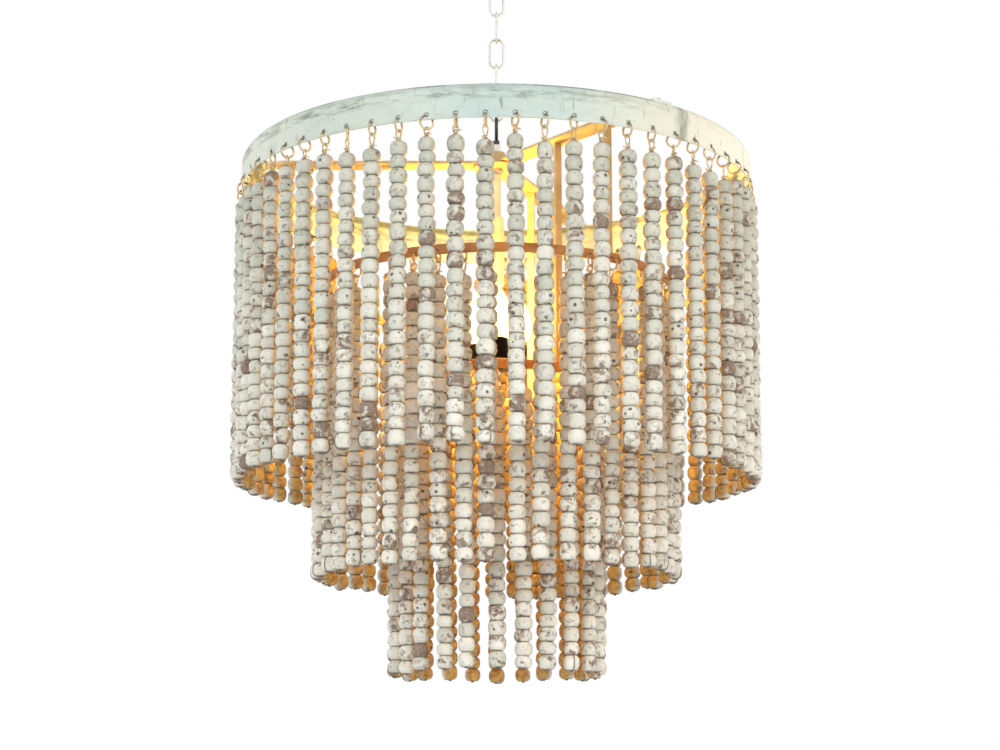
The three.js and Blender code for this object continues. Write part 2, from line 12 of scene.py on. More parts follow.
import bpy
import numpy as np
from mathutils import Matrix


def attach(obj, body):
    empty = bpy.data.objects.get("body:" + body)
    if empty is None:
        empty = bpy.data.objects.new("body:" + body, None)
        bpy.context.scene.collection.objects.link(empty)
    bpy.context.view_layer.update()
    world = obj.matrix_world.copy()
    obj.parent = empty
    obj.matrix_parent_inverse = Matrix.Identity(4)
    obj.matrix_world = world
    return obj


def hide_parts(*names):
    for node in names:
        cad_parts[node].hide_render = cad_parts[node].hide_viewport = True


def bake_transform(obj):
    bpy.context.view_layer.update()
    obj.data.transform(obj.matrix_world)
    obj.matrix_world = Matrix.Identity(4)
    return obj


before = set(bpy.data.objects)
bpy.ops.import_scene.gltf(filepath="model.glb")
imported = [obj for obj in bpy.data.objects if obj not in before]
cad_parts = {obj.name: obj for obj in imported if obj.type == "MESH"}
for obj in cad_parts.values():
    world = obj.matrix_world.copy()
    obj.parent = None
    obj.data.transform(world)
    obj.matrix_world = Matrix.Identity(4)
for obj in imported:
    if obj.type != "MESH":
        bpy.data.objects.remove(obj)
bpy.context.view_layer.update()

# %% [markdown]
# ## The camera
#
# The picture was taken from below the hoop and a little more than two metres away, so the
# eye looks up under the bands. Turning the camera further up would bring the chain into the
# picture, but then the upright strands would lean together. A small shift of the lens does
# it instead, and keeps them nearly upright.

# %% Camera
CAMERA_PLACE = (0, -2.1148, -0.9174)
CAMERA_PITCH = math.radians(100.2)
SENSOR_WIDTH, LENS = 36, 73.67
LENS_SHIFT = (0.0036, 0.05)

camera_data = bpy.data.cameras.new("photo_camera")
camera_data.sensor_fit = "HORIZONTAL"
camera_data.sensor_width = SENSOR_WIDTH
camera_data.lens = LENS
camera_data.shift_x, camera_data.shift_y = LENS_SHIFT
camera = bpy.data.objects.new("photo_camera", camera_data)
camera.location = CAMERA_PLACE
camera.rotation_euler = (CAMERA_PITCH, 0, 0)
bpy.context.scene.collection.objects.link(camera)
bpy.context.scene.camera = camera
print("camera", [round(value, 4) for value in camera.location])

# %% [markdown]
# ## Helpers for colours and nodes
#
# Colours are written as they look on a screen, in hex. Blender mixes light in linear
# numbers, so one function turns the one into the other. A second function adds a node with
# its settings and its links, which keeps each finish to a few readable lines.

# %% Colour and node helpers
def linear(code):
    """Turn an sRGB hex code into linear red, green, blue and full alpha."""
    shares = np.array([int(code[i:i + 2], 16) for i in (1, 3, 5)]) / 255
    light = np.where(shares <= 0.04045, shares / 12.92, ((shares + 0.055) / 1.055) ** 2.4)
    return (*light.tolist(), 1)


def add_node(tree, kind, sockets=None, out=None, stops=(), **settings):
    """Add one node, choose its settings and colour stops, and set or link its sockets. It
    gives back one output: the one named, or the first that the settings leave open."""
    node = tree.nodes.new("ShaderNode" + kind)
    for name, value in settings.items():
        setattr(node, name, value)
    for index, (place, code) in enumerate(stops):
        ramp = node.color_ramp.elements
        stop = ramp[index] if index < len(ramp) else ramp.new(place)
        stop.position = place
        stop.color = linear(code)
    for socket, value in (sockets or {}).items():
        if isinstance(value, bpy.types.NodeSocket):
            tree.links.new(value, node.inputs[socket])
        else:
            node.inputs[socket].default_value = linear(value) if isinstance(value, str) else value
    if out:
        return node.outputs[out]
    return next((socket for socket in node.outputs if socket.enabled), None)


def new_material(name, sockets):
    """Start a material and set its plain values on the shader's own sockets."""
    material = bpy.data.materials.new(name)
    material.use_nodes = True
    shader = material.node_tree.nodes["Principled BSDF"]
    for socket, value in sockets.items():
        shader.inputs[socket].default_value = linear(value) if isinstance(value, str) else value
    return material, material.node_tree, shader


print("mid grey is", [round(value, 3) for value in linear("#808080")])

# %% [markdown]
# ## Light, background and floor
#
# The object hangs before plain white in soft light from all sides. A bright world alone
# would give that, but flat, and it would drown the lamps that gild the inside. So five large
# soft lights do most of the work, one of them low in front, where it reaches under the upper
# tiers, and the world adds a dim grey-white. Together they make a level at which a colour
# renders about as it is written. Where the camera, a reflection or glass looks at the world
# it is pure white, and the floor, a room's height below, is lifted towards white there too.

# %% World and floor
FLOOR_Z = -2.9
FLOOR_REACH = 12.0
FLOOR_LIFT = 0.70
AMBIENT = 0.30


def seen_directly(tree):
    """1 for a ray from the camera, a reflection or glass, and 0 for one that carries light."""
    seen = add_node(tree, "LightPath", out="Is Camera Ray")
    for ray in ("Is Glossy Ray", "Is Transmission Ray"):
        seen = add_node(tree, "Math", {0: seen, 1: add_node(tree, "LightPath", out=ray)},
                        operation="MAXIMUM")
    return seen


world = bpy.data.worlds.new("studio")
world.use_nodes = True
bpy.context.scene.world = world
sky = world.node_tree
sky.nodes.clear()
glow = add_node(sky, "Background", {"Color": "#F4F6F7", "Strength": AMBIENT})
white = add_node(sky, "Background", {"Color": "#FFFFFF", "Strength": 1.0})
backdrop = add_node(sky, "MixShader", {0: seen_directly(sky), 1: glow, 2: white})
add_node(sky, "OutputWorld", {"Surface": backdrop})

floor_corners = [(x * FLOOR_REACH, y * FLOOR_REACH, FLOOR_Z)
                 for x, y in ((-1, -1), (1, -1), (1, 1), (-1, 1))]
floor_mesh = bpy.data.meshes.new("floor")
floor_mesh.from_pydata(floor_corners, [], [(0, 1, 2, 3)])
floor = bpy.data.objects.new("floor", floor_mesh)
bpy.context.scene.collection.objects.link(floor)
floor_paint, tree, shader = new_material("pale_floor_paint", {
    "Base Color": "#F2F1EE", "Roughness": 0.7, "Emission Color": "#F8F8F6"})
lift = add_node(tree, "Math", {0: seen_directly(tree), 1: FLOOR_LIFT}, operation="MULTIPLY")
tree.links.new(lift, shader.inputs["Emission Strength"])
floor_mesh.materials.append(floor_paint)
print("floor at", FLOOR_Z)

# %% Soft lights
LIGHT_AIM = (0, 0, -0.45)
COOL, EVEN, WARM = (0.97, 1.0, 0.98), (1.0, 0.99, 0.96), (1.0, 0.93, 0.83)
# place and size in metres, power in watts, colour
SOFT_LIGHTS = {
    "key_light": ((-1.7, -2.7, 0.5), 1.6, 44, COOL),
    "fill_light": ((2.3, -2.3, -0.1), 1.8, 47, WARM),
    "front_light": ((0.1, -3.4, -1.0), 1.5, 27, EVEN),
    "side_light_left": ((-3.0, 0.9, -0.3), 1.8, 44, EVEN),
    "side_light_right": ((2.8, 1.4, 0.1), 1.8, 42, WARM),
}


def soft_light(name, place, size, energy, colour):
    """Hang a square studio light at a place and turn its face to the object's middle."""
    data = bpy.data.lights.new(name, "AREA")
    data.size = size
    data.energy = energy
    data.color = colour
    light = bpy.data.objects.new(name, data)
    light.location = place
    away = np.array(place) - np.array(LIGHT_AIM)
    light.rotation_euler = (math.acos(away[2] / np.linalg.norm(away)), 0,
                            math.atan2(away[1], away[0]) + math.pi / 2)
    bpy.context.scene.collection.objects.link(light)


for name, settings in SOFT_LIGHTS.items():
    soft_light(name, *settings)
print("studio lights:", len(SOFT_LIGHTS))

# %% [markdown]
# ## Limewashed beads
#
# The beads are turned from a light hardwood and dipped in limewash, a matt chalky paint.
# Nearly every bead has grey smudges, a dark pit or a curved crack, and here and there the
# paint has come off in patches and shows the brown wood. A picture of one real bead could be
# wrapped round them all, but then all would be alike. Instead each bead carries its own
# numbers in the mesh: a tone, random and greyer the higher the bead hangs, which is painted
# shade, how worn it is, a seed that gives it a pattern of its own, how near each point lies to
# an end, where painted shade and a little dirt darken the beads where they meet, and how much
# it faces the axis, where an amber is painted as the light of the lamps. Every mark is a share
# from 0 to 1 that lays one colour over the colours before it.

# %% Patterns of the beads
MM = 0.001
PIT_SPACING = 8


def per_mm(size):
    """The scale that gives a noise pattern features of a size in millimetres."""
    return 1 / (size * MM)


# chalky limewash on turned hardwood: matt, so the eye sees its marks and hardly any gloss
limewash, tree, shader = new_material("limewashed_hardwood", {
    "Roughness": 0.78, "IOR": 1.5, "Specular IOR Level": 0.3})
place = add_node(tree, "TexCoord", out="Object")
tint, wear, seed, end, inward = [add_node(tree, "Attribute", out="Fac", attribute_name=name)
                                 for name in ("tint", "wear", "seed", "end", "inward")]
# size in millimetres, detail and distortion of each noise
patches, smudges, contour, clouds, grit = [
    add_node(tree, "TexNoise", {"Vector": place, "W": seed, "Scale": per_mm(size),
                                "Detail": detail, "Roughness": 0.6, "Distortion": bend},
             noise_dimensions="4D")
    for size, detail, bend in ((10, 5, 0.5), (5.5, 4, 0.8), (10, 1.5, 0), (16, 3, 0),
                               (1.6, 3, 0))]
hollow, lot = [add_node(tree, "TexVoronoi", {"Vector": place, "W": seed,
                                             "Scale": per_mm(PIT_SPACING)},
                        out=out, voronoi_dimensions="4D") for out in ("Distance", "Color")]
print("bead patterns ready")

# %% Marks of the beads, laid over each other
# a spot is as worn as its bead and its patch make it; smudges need a little wear
worn = add_node(tree, "Math", {0: wear, 1: 0.34, 2: patches}, operation="MULTIPLY_ADD")
cloud = add_node(tree, "MapRange", {0: clouds, 1: 0.40, 2: 0.72})
smudge = add_node(tree, "MapRange", {0: smudges, 1: 0.55, 2: 0.66, 4: 0.85})
faint = add_node(tree, "MapRange", {0: worn, 1: 0.42, 2: 0.62})
smudge = add_node(tree, "Math", {0: smudge, 1: faint}, operation="MULTIPLY")
# the paint gets thin, and then it is gone and the grain of the wood shows
thin = add_node(tree, "MapRange", {0: worn, 1: 0.64, 2: 0.74, 4: 0.75})
chip = add_node(tree, "MapRange", {0: worn, 1: 0.735, 2: 0.755})
wood = add_node(tree, "ValToRGB", {0: grit},
                stops=[(0.32, "#78665B"), (0.5, "#8F7D70"), (0.68, "#A89686")])
# a crack runs where a smooth noise crosses its middle, and only in the rougher patches
crack = add_node(tree, "Math", {0: contour, 1: 0.5}, operation="SUBTRACT")
crack = add_node(tree, "Math", {0: crack}, operation="ABSOLUTE")
crack = add_node(tree, "MapRange", {0: crack, 1: 0.080, 2: 0.015, 4: 0.65})
broken = add_node(tree, "MapRange", {0: patches, 1: 0.55, 2: 0.61})
crack = add_node(tree, "Math", {0: crack, 1: broken}, operation="MULTIPLY")
# a pit is the ragged middle of a cell, in about half of the cells
hollow = add_node(tree, "Math", {0: grit, 1: 0.3, 2: hollow}, operation="MULTIPLY_ADD")
pit = add_node(tree, "MapRange", {0: hollow, 1: 0.43, 2: 0.34, 4: 0.9})
rare = add_node(tree, "MapRange", {0: lot, 1: 0.46, 2: 0.50})
pit = add_node(tree, "Math", {0: pit, 1: rare}, operation="MULTIPLY")
mark = add_node(tree, "Math", {0: crack, 1: pit}, operation="MAXIMUM")
# painted shade, with a little dirt, at the ends where the beads meet,
# and painted lamp light in gold where a bead faces the axis
end_shade_and_dirt = add_node(tree, "MapRange", {0: end, 1: 0.84, 2: 1.0, 4: 0.7})
# painted lamp light: a bead is drawn amber on the side that faces the axis, where the lamps hang
painted_lamp_light = add_node(tree, "MapRange", {0: inward, 1: 0.02, 2: 0.6, 4: 0.85})
# the colours of the painted lamp light, from a shaded brown to a yellow highlight, in blotches
gold = add_node(tree, "ValToRGB", {0: smudges},
                stops=[(0.38, "#AC752A"), (0.5, "#CF983A"), (0.64, "#E9C25E")])

# painted shade: a bead is drawn greyer the higher it hangs on its strand, with a random tone on
# top
paint = add_node(tree, "Mix", {0: tint, 6: "#ECEBE2", 7: "#BBBFB3"}, data_type="RGBA")
for share, colour in ((cloud, "#D6D2C6"), (smudge, "#877D71"), (thin, "#A4978A"),
                      (chip, wood), (painted_lamp_light, gold), (mark, "#4C423A"), (end_shade_and_dirt, "#73675A")):
    paint = add_node(tree, "Mix", {0: share, 6: paint, 7: colour}, data_type="RGBA")
# bare wood, cracks and pits lie below the paint, and grit roughens it all
depth = add_node(tree, "Math", {0: chip, 1: mark}, operation="MAXIMUM")
relief = add_node(tree, "Math", {0: grit, 1: 0.18, 2: depth}, operation="MULTIPLY_ADD")
dent = add_node(tree, "Bump", {"Height": relief, "Distance": 0.0004, "Strength": 0.6},
                invert=True)
tree.links.new(paint, shader.inputs["Base Color"])
tree.links.new(dent, shader.inputs["Normal"])
print("beads:", limewash.name)

# %% [markdown]
# ## Distressed paint on the hoop
#
# The hoop is steel under a pale milk paint, blue-green in the middle, greyer to the left
# and paler and warmer to the right. Rubbing has left grey-green streaks along it, just under
# the rounded shoulder, a few upright scuffs, small dark nicks and a broken dark line on the
# top edge.
# The streaks could be painted by hand on an unrolled band, but noise that is stretched along
# it gives as many as are wanted: its features are long sideways and low. A blend by height
# keeps them in the upper part. The upright seam where the band was joined is worn too: it is
# where the distance along the band from that spot is small. A number in the mesh darkens the
# paint in and round each hole as painted shade.

# %% Material for the hoop and the canopy
HOOP_TOP, HOOP_BOTTOM = -255.3, -291.3
SEAM = math.radians(42)
# casein milk paint on steel: a soft satin, between the chalky beads and the bright chain
milk_paint, tree, shader = new_material("distressed_milk_paint", {"Roughness": 0.55,
                                                                  "IOR": 1.48})
place = add_node(tree, "TexCoord", out="Object")
across, height = [add_node(tree, "SeparateXYZ", {0: place}, out=axis) for axis in "XZ"]
rim = add_node(tree, "Attribute", out="Fac", attribute_name="rim")
# each noise starts elsewhere, and its features are so many millimetres along X, Y and Z
broad, streak, upright, sparse, nick, smear, grain = [
    add_node(tree, "TexNoise", {
        "Vector": add_node(tree, "Mapping", {"Vector": place, "Location": (shift,) * 3,
                                             "Scale": [per_mm(side) for side in size]}),
        "Scale": 1.0, "Detail": 6.0, "Roughness": 0.68})
    for shift, size in ((2, (150, 150, 60)), (7, (34, 34, 7)), (4, (10, 10, 60)),
                        (9, (70, 70, 70)), (1, (5, 5, 2)), (3, (16, 16, 8)),
                        (6, (5, 5, 24)))]
aside, facing = [add_node(tree, "VectorMath", {0: place, 1: way}, out="Value",
                          operation="DOT_PRODUCT")
                 for way in ((math.cos(SEAM), math.sin(SEAM), 0),
                             (math.sin(SEAM), -math.cos(SEAM), 0))]
# the tone changes from left to right, with smears all over
left = add_node(tree, "MapRange", {0: across, 1: -0.05, 2: -0.26, 4: 0.8})
right = add_node(tree, "MapRange", {0: across, 1: 0.05, 2: 0.20, 4: 0.8})
smear = add_node(tree, "MapRange", {0: smear, 1: 0.52, 2: 0.72, 4: 0.6})
# streaks only in the belt under the shoulder, scuffs only here and there
up = add_node(tree, "MapRange", {0: height, 1: HOOP_BOTTOM * MM, 2: HOOP_TOP * MM})
belt = add_node(tree, "ValToRGB", {0: up}, stops=[
    (0.48, "#000000"), (0.63, "#F4F4F4"), (0.76, "#E4E4E4"), (0.92, "#505050"),
    (0.99, "#000000")])
rub = add_node(tree, "MapRange", {0: streak, 1: 0.45, 2: 0.62})
rub = add_node(tree, "Math", {0: rub, 1: belt}, operation="MULTIPLY")
scuff = add_node(tree, "MapRange", {0: upright, 1: 0.56, 2: 0.64, 4: 0.8})
here = add_node(tree, "MapRange", {0: sparse, 1: 0.50, 2: 0.60})
scuff = add_node(tree, "Math", {0: scuff, 1: here}, operation="MULTIPLY")
# the broken line near the top edge
edge = add_node(tree, "ValToRGB", {0: up}, stops=[
    (0.89, "#000000"), (0.94, "#FFFFFF"), (0.97, "#FFFFFF"), (0.995, "#000000")])
some = add_node(tree, "MapRange", {0: sparse, 1: 0.47, 2: 0.53, 4: 0.75})
edge = add_node(tree, "Math", {0: edge, 1: some}, operation="MULTIPLY")
# the ragged seam, only on the side of the band where it lies
seam = add_node(tree, "Math", {0: aside}, operation="ABSOLUTE")
seam = add_node(tree, "Math", {0: grain, 1: 0.030, 2: seam}, operation="MULTIPLY_ADD")
seam = add_node(tree, "MapRange", {0: seam, 1: 0.0260, 2: 0.0150, 4: 0.85})
outer = add_node(tree, "MapRange", {0: facing, 1: 0.20, 2: 0.21})
seam = add_node(tree, "Math", {0: seam, 1: outer}, operation="MULTIPLY")
# nicks, short upright notches, and painted shade in and round the holes
mark = add_node(tree, "MapRange", {0: nick, 1: 0.66, 2: 0.69})
notch = add_node(tree, "MapRange", {0: grain, 1: 0.61, 2: 0.68, 4: 0.8})
rim = add_node(tree, "MapRange", {0: rim, 1: 0.0, 2: 1.0, 4: 0.85})

paint = add_node(tree, "ValToRGB", {0: broad},
                 stops=[(0.36, "#B7CBC9"), (0.5, "#C3D0CA"), (0.66, "#CCD5CB")])
for share, colour in ((left, "#CBCEC0"), (smear, "#AEB6AB"), (rub, "#6F7A6F"),
                      (right, "#EFE9D6"), (scuff, "#9BA296"), (notch, "#85877A"),
                      (seam, "#868D80"), (edge, "#6A726A"), (mark, "#565B55"),
                      (rim, "#4E514C")):
    paint = add_node(tree, "Mix", {0: share, 6: paint, 7: colour}, data_type="RGBA")
dent = add_node(tree, "Bump", {"Height": mark, "Distance": 0.0003, "Strength": 0.5},
                invert=True)
tree.links.new(paint, shader.inputs["Base Color"])
tree.links.new(dent, shader.inputs["Normal"])
print("hoop:", milk_paint.name)

# %% [markdown]
# ## The metal and the small parts
#
# The arms and the drop bars are flat iron under an aged cream paint, which the lamps turn to
# gold, and the two lower rings are a browner gold. The stem is a cream tube with a sleeve,
# which is drawn peach, the colour of its shaded side, as painted shade. The chain is white, the
# lifting eye is black iron, and the lamp holders are black plastic. The rings that carry the
# strands are dulled brass wire. Each could have a material of its own making, but all are
# small and mottled in the same way, with other colours and sizes, so one function makes them.

# %% Materials for the metalwork
GRIT = 1.2
MOTTLE_PLACES = (0.34, 0.5, 0.68)
MATT_GLOSS = 0.08


def mottled(name, colours, size, roughness, metallic=0.0, relief=0.15):
    """A finish that wanders between three colours in blotches of a size in millimetres, with
    grit in its surface, drawn coarser than the real one so that it shows."""
    material, tree, shader = new_material(name, {"Roughness": roughness, "Metallic": metallic})
    place = add_node(tree, "TexCoord", out="Object")
    blotch, grit = [add_node(tree, "TexNoise", {"Vector": place, "Scale": per_mm(feature),
                                                "Detail": 5.0, "Roughness": 0.6})
                    for feature in (size, GRIT)]
    paint = add_node(tree, "ValToRGB", {0: blotch}, stops=list(zip(MOTTLE_PLACES, colours)))
    dent = add_node(tree, "Bump", {"Height": grit, "Distance": 0.0002, "Strength": relief})
    tree.links.new(paint, shader.inputs["Base Color"])
    tree.links.new(dent, shader.inputs["Normal"])
    return material


# brushed paint on flat bar: satin, with broad blotches where it was laid on thin
arm_paint = mottled("aged_cream_paint_on_iron", ("#AF9563", "#BFA776", "#D0BB90"), 26, 0.5)
ring_paint = mottled("worn_gold_paint_on_iron", ("#8E6236", "#A97A46", "#C09158"), 24, 0.5)
# sprayed lacquer is smooth and pale, and the card sleeve on it dry; the sleeve is drawn in
# the warmer peach of its shaded side, as painted shade
cream_paint = mottled("cream_lacquered_tube", ("#C9C6A4", "#DAD7B8", "#E6E3C9"), 18, 0.4)
shaded_sleeve_paint = mottled("card_sleeve_in_painted_shade", ("#DCBE98", "#E8CDA9", "#F0DABB"), 22, 0.6)
# dipped enamel on welded wire: bright and smooth
chain_white = mottled("white_enamelled_chain", ("#CFD1D0", "#DFE0DF", "#EBECEB"), 5, 0.35)
# blackened iron has a soft gleam, and moulded phenolic plastic is dead black
black_iron = mottled("blackened_iron", ("#141312", "#1F1D1B", "#2C2926"), 9, 0.45)
black_plastic = mottled("black_phenolic_plastic", ("#050505", "#080707", "#0D0C0C"), 7, 0.7)
# drawn wire gone dull and tan, and pressed sheet that still shines
brass_wire = mottled("dulled_brass_wire", ("#A8926C", "#CDB892", "#E6D8BB"), 4, 0.55)
brass_sheet = mottled("pressed_brass", ("#A67C3B", "#C59A50", "#D8B56C"), 7, 0.3, metallic=1.0)
# zinc plating: pale grey metal, a little cloudy
zinc_steel = mottled("zinc_plated_steel", ("#9B9D9C", "#B5B7B5", "#CACBC8"), 8, 0.38,
                     metallic=0.9)
# twisted cotton drawn through wax: grey-brown and rough
waxed_cord = mottled("waxed_cotton_cord", ("#65574A", "#7F6F60", "#9A8A78"), 3, 0.7,
                     relief=0.5)
for matt in (black_plastic, brass_wire):
    shader = matt.node_tree.nodes["Principled BSDF"]
    shader.inputs["Specular IOR Level"].default_value = MATT_GLOSS
print("materials so far:", len(bpy.data.materials))

# %% [markdown]
# ## Paint and painted shade that change along the part
#
# The outer ends of the arms carry the hoop's pale paint, because the hoop was painted with
# its arms in place. The jump rings are darker at the top, where they pass through their
# holes, and the links where they touch each other: both are painted shade. Each part could be
# cut in two and given two materials, with a hard line between them. A blend by the distance
# from the axis, or by a number in the mesh, gives a soft line: of real wear on the arms, and
# of painted shade on the rings and the links.

# %% Pale arm ends, and painted shade on the ring tops and the links
PALE_FROM, PALE_TO = 0.228, 0.240

tree = arm_paint.node_tree
place = add_node(tree, "TexCoord", out="Object")
flat = add_node(tree, "VectorMath", {0: place, 1: (1, 1, 0)}, operation="MULTIPLY")
reach = add_node(tree, "VectorMath", {0: flat}, out="Value", operation="LENGTH")
pale_end = add_node(tree, "MapRange", {0: reach, 1: PALE_FROM, 2: PALE_TO})
# painted shade on the tops of the jump rings, in their holes
hole_shade = add_node(brass_wire.node_tree, "Attribute", out="Fac", attribute_name="hole_shade")
# painted shade on the links, most where they touch
link_shade = add_node(chain_white.node_tree, "Attribute", out="Fac", attribute_name="link_shade")
for material, share, colour in ((arm_paint, pale_end, "#D6DFDA"),
                                (brass_wire, hole_shade, "#5F584B"),
                                (chain_white, link_shade, "#454745")):
    tree = material.node_tree
    base = tree.nodes["Principled BSDF"].inputs["Base Color"]
    paint = add_node(tree, "Mix", {0: share, 6: base.links[0].from_socket, 7: colour},
                     data_type="RGBA")
    tree.links.new(paint, base)
# the ring tops and the links are darkened as painted shade
print("arm ends pale, ring tops tarnished, links rubbed")

# %% [markdown]
# ## Lit glass and filament
#
# A lit bulb is palest beside its filament, and more amber towards its foot and its tip. The
# glass could be clear, so that only the filament shines, but behind the beads it would then
# look unlit. So the glass glows too, by its height above or below the filament's middle.

# %% Material for the lamps
GLOW_MIDDLE, GLOW_REACH = -0.423, 0.036

# clear blown glass: glossy, and half seen through
lamp_glass, tree, shader = new_material("lit_lamp_glass", {
    "Base Color": "#FFF3D8", "Roughness": 0.12, "IOR": 1.5, "Transmission Weight": 0.55,
    "Emission Strength": 1.8})
place = add_node(tree, "TexCoord", out="Object")
above = add_node(tree, "SeparateXYZ", {0: place}, out="Z")
above = add_node(tree, "Math", {0: above, 1: GLOW_MIDDLE}, operation="SUBTRACT")
away = add_node(tree, "Math", {0: above}, operation="ABSOLUTE")
away = add_node(tree, "MapRange", {0: away, 1: 0.0, 2: GLOW_REACH})
heat = add_node(tree, "ValToRGB", {0: away},
                stops=[(0.2, "#FFF4C4"), (0.6, "#FFE07A"), (1.0, "#FFC840")])
tree.links.new(heat, shader.inputs["Emission Color"])

# hot drawn wire: it shines by itself, so its surface hardly matters
filament_wire, tree, shader = new_material("white_hot_filament", {
    "Base Color": "#FFE8B8", "Emission Strength": 9.0})
place = add_node(tree, "TexCoord", out="Object")
flicker = add_node(tree, "TexNoise", {"Vector": place, "Scale": per_mm(5)})
heat = add_node(tree, "ValToRGB", {0: flicker}, stops=[(0.3, "#FFE2A0"), (0.7, "#FFF0CC")])
tree.links.new(heat, shader.inputs["Emission Color"])
print("lamps:", lamp_glass.name, filament_wire.name)

# %% [markdown]
# ## Shapes from arrays
#
# Every new piece is a surface worked out in numpy. Most are a profile that is turned round
# the Z axis, or a circle that is carried along a path. A shape is a pair: its points, and
# its faces in groups of the same number of corners. All sizes are in millimetres until the
# mesh is made.

# %% Surfaces
def grid_faces(rows, columns, wrap_rows=False):
    """Four-cornered faces of a grid that closes round its columns, and round its rows if told."""
    row = np.arange(rows if wrap_rows else rows - 1)[:, None]
    column = np.arange(columns)[None, :]
    above, beside = (row + 1) % rows, (column + 1) % columns
    corners = [row * columns + column, row * columns + beside,
               above * columns + beside, above * columns + column]
    return np.stack(corners, axis=-1).reshape(-1, 4)


def closed_ends(faces, rows, columns):
    """Add one flat face over the first row, turned down, and one over the last row."""
    first = np.arange(columns)
    return [faces, np.stack([first[::-1], first + (rows - 1) * columns])]


def turned(profile, segments, middle=(0, 0), looped=False):
    """Turn [radius, z] points round an upright axis: x and y are the radius times the cosine
    and the sine of the angle. A looped profile closes on itself, and any other gets flat ends."""
    profile = np.array(profile, float)
    angle = 2 * math.pi * np.arange(segments) / segments
    points = np.empty((len(profile), segments, 3))
    points[..., 0] = middle[0] + profile[:, :1] * np.cos(angle)
    points[..., 1] = middle[1] + profile[:, :1] * np.sin(angle)
    points[..., 2] = profile[:, 1:]
    faces = grid_faces(len(profile), segments, looped)
    groups = [faces] if looped else closed_ends(faces, len(profile), segments)
    return points.reshape(-1, 3), groups


def tube(path, radius, normal, sides, looped=False):
    """Carry a circle along a path: each point of it is the path's point, plus the radius times
    the cosine of its angle to the side and the sine of its angle up from the path."""
    path = np.array(path, float)
    ahead = np.roll(path, -1, 0) - np.roll(path, 1, 0) if looped else np.gradient(path, axis=0)
    ahead /= np.linalg.norm(ahead, axis=1, keepdims=True)
    side = np.cross(ahead, normal)
    side /= np.linalg.norm(side, axis=1, keepdims=True)
    up = np.cross(ahead, side)
    angle = (2 * math.pi * np.arange(sides) / sides)[None, :, None]
    points = path[:, None] + radius * (np.cos(angle) * side[:, None] + np.sin(angle) * up[:, None])
    faces = grid_faces(len(path), sides, looped)
    groups = [faces] if looped else closed_ends(faces, len(path), sides)
    return points.reshape(-1, 3), groups


def eased(profile, reach, steps=3):
    """Round the inner corners of a profile: each becomes a small curve that starts and ends a
    reach away from the corner and leans towards it in between."""
    profile = np.array(profile, float)
    corner = profile[1:-1]
    back, on = profile[:-2] - corner, profile[2:] - corner
    start = corner + reach * back / np.linalg.norm(back, axis=1, keepdims=True)
    end = corner + reach * on / np.linalg.norm(on, axis=1, keepdims=True)
    t = np.linspace(0, 1, steps + 1)[None, :, None]
    curve = ((1 - t) ** 2 * start[:, None] + 2 * t * (1 - t) * corner[:, None]
             + t ** 2 * end[:, None])
    return np.concatenate([profile[:1], curve.reshape(-1, 2), profile[-1:]])


print("a square profile turned in 4 steps has", len(turned([(1, 0), (1, 1)], 4)[0]), "points")

# %% Copies and pieces
def gathered(shapes):
    """Put several shapes in one: their points in a row, and their faces numbered on."""
    starts = np.cumsum([0] + [len(points) for points, _ in shapes])
    groups = [faces + start for (_, faced), start in zip(shapes, starts) for faces in faced]
    return np.concatenate([points for points, _ in shapes]), groups


def scattered(shape, turns, places, sizes=None):
    """Copies of a shape: its points are sized, turned by a matrix and moved, for each copy."""
    points, groups = shape
    sized = points[None] if sizes is None else points[None] * np.asarray(sizes)[:, None]
    moved = np.einsum("nij,nkj->nki", turns, np.broadcast_to(sized, (len(turns), *points.shape)))
    moved = moved + np.asarray(places)[:, None]
    starts = (np.arange(len(turns)) * len(points))[:, None, None]
    return moved.reshape(-1, 3), [(faces[None] + starts).reshape(-1, faces.shape[1])
                                  for faces in groups]


def turn_about(axis, angles):
    """One turning matrix about the X, Y or Z axis for each angle in an array."""
    angles = np.atleast_1d(np.asarray(angles, float))
    first, second = [(1, 2), (2, 0), (0, 1)]["XYZ".index(axis)]
    matrices = np.tile(np.eye(3), (len(angles), 1, 1))
    matrices[:, first, first] = matrices[:, second, second] = np.cos(angles)
    matrices[:, second, first] = np.sin(angles)
    matrices[:, first, second] = -np.sin(angles)
    return matrices


def make_piece(name, shape, material, body, nodes=(), crease=40, numbers=None, bend=None):
    """Put a shape into a mesh in metres, finish it and let it ride on its body. With a bend,
    it rides on no body and keeps its place; the bend's two heights are not used."""
    points, groups = shape
    sizes = np.concatenate([np.full(len(faces), faces.shape[1]) for faces in groups])
    mesh = bpy.data.meshes.new(name)
    mesh.vertices.add(len(points))
    mesh.vertices.foreach_set("co", (points * MM).astype(np.float32).ravel())
    mesh.loops.add(int(sizes.sum()))
    mesh.loops.foreach_set("vertex_index",
                           np.concatenate([faces.ravel() for faces in groups]).astype(np.int32))
    mesh.polygons.add(len(sizes))
    mesh.polygons.foreach_set("loop_start", (np.cumsum(sizes) - sizes).astype(np.int32))
    mesh.update(calc_edges=True)
    mesh.shade_smooth()
    mesh.set_sharp_from_angle(angle=math.radians(crease))
    for key, values in (numbers or {}).items():
        mesh.attributes.new(key, "FLOAT", "POINT").data.foreach_set(
            "value", np.asarray(values, np.float32))
    mesh.materials.append(material)
    piece = bpy.data.objects.new(name, mesh)
    bpy.context.scene.collection.objects.link(piece)
    if bend:
        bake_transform(piece)
    else:
        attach(piece, body)
    if nodes:
        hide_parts(*nodes)
    return piece


print("copies and pieces ready")

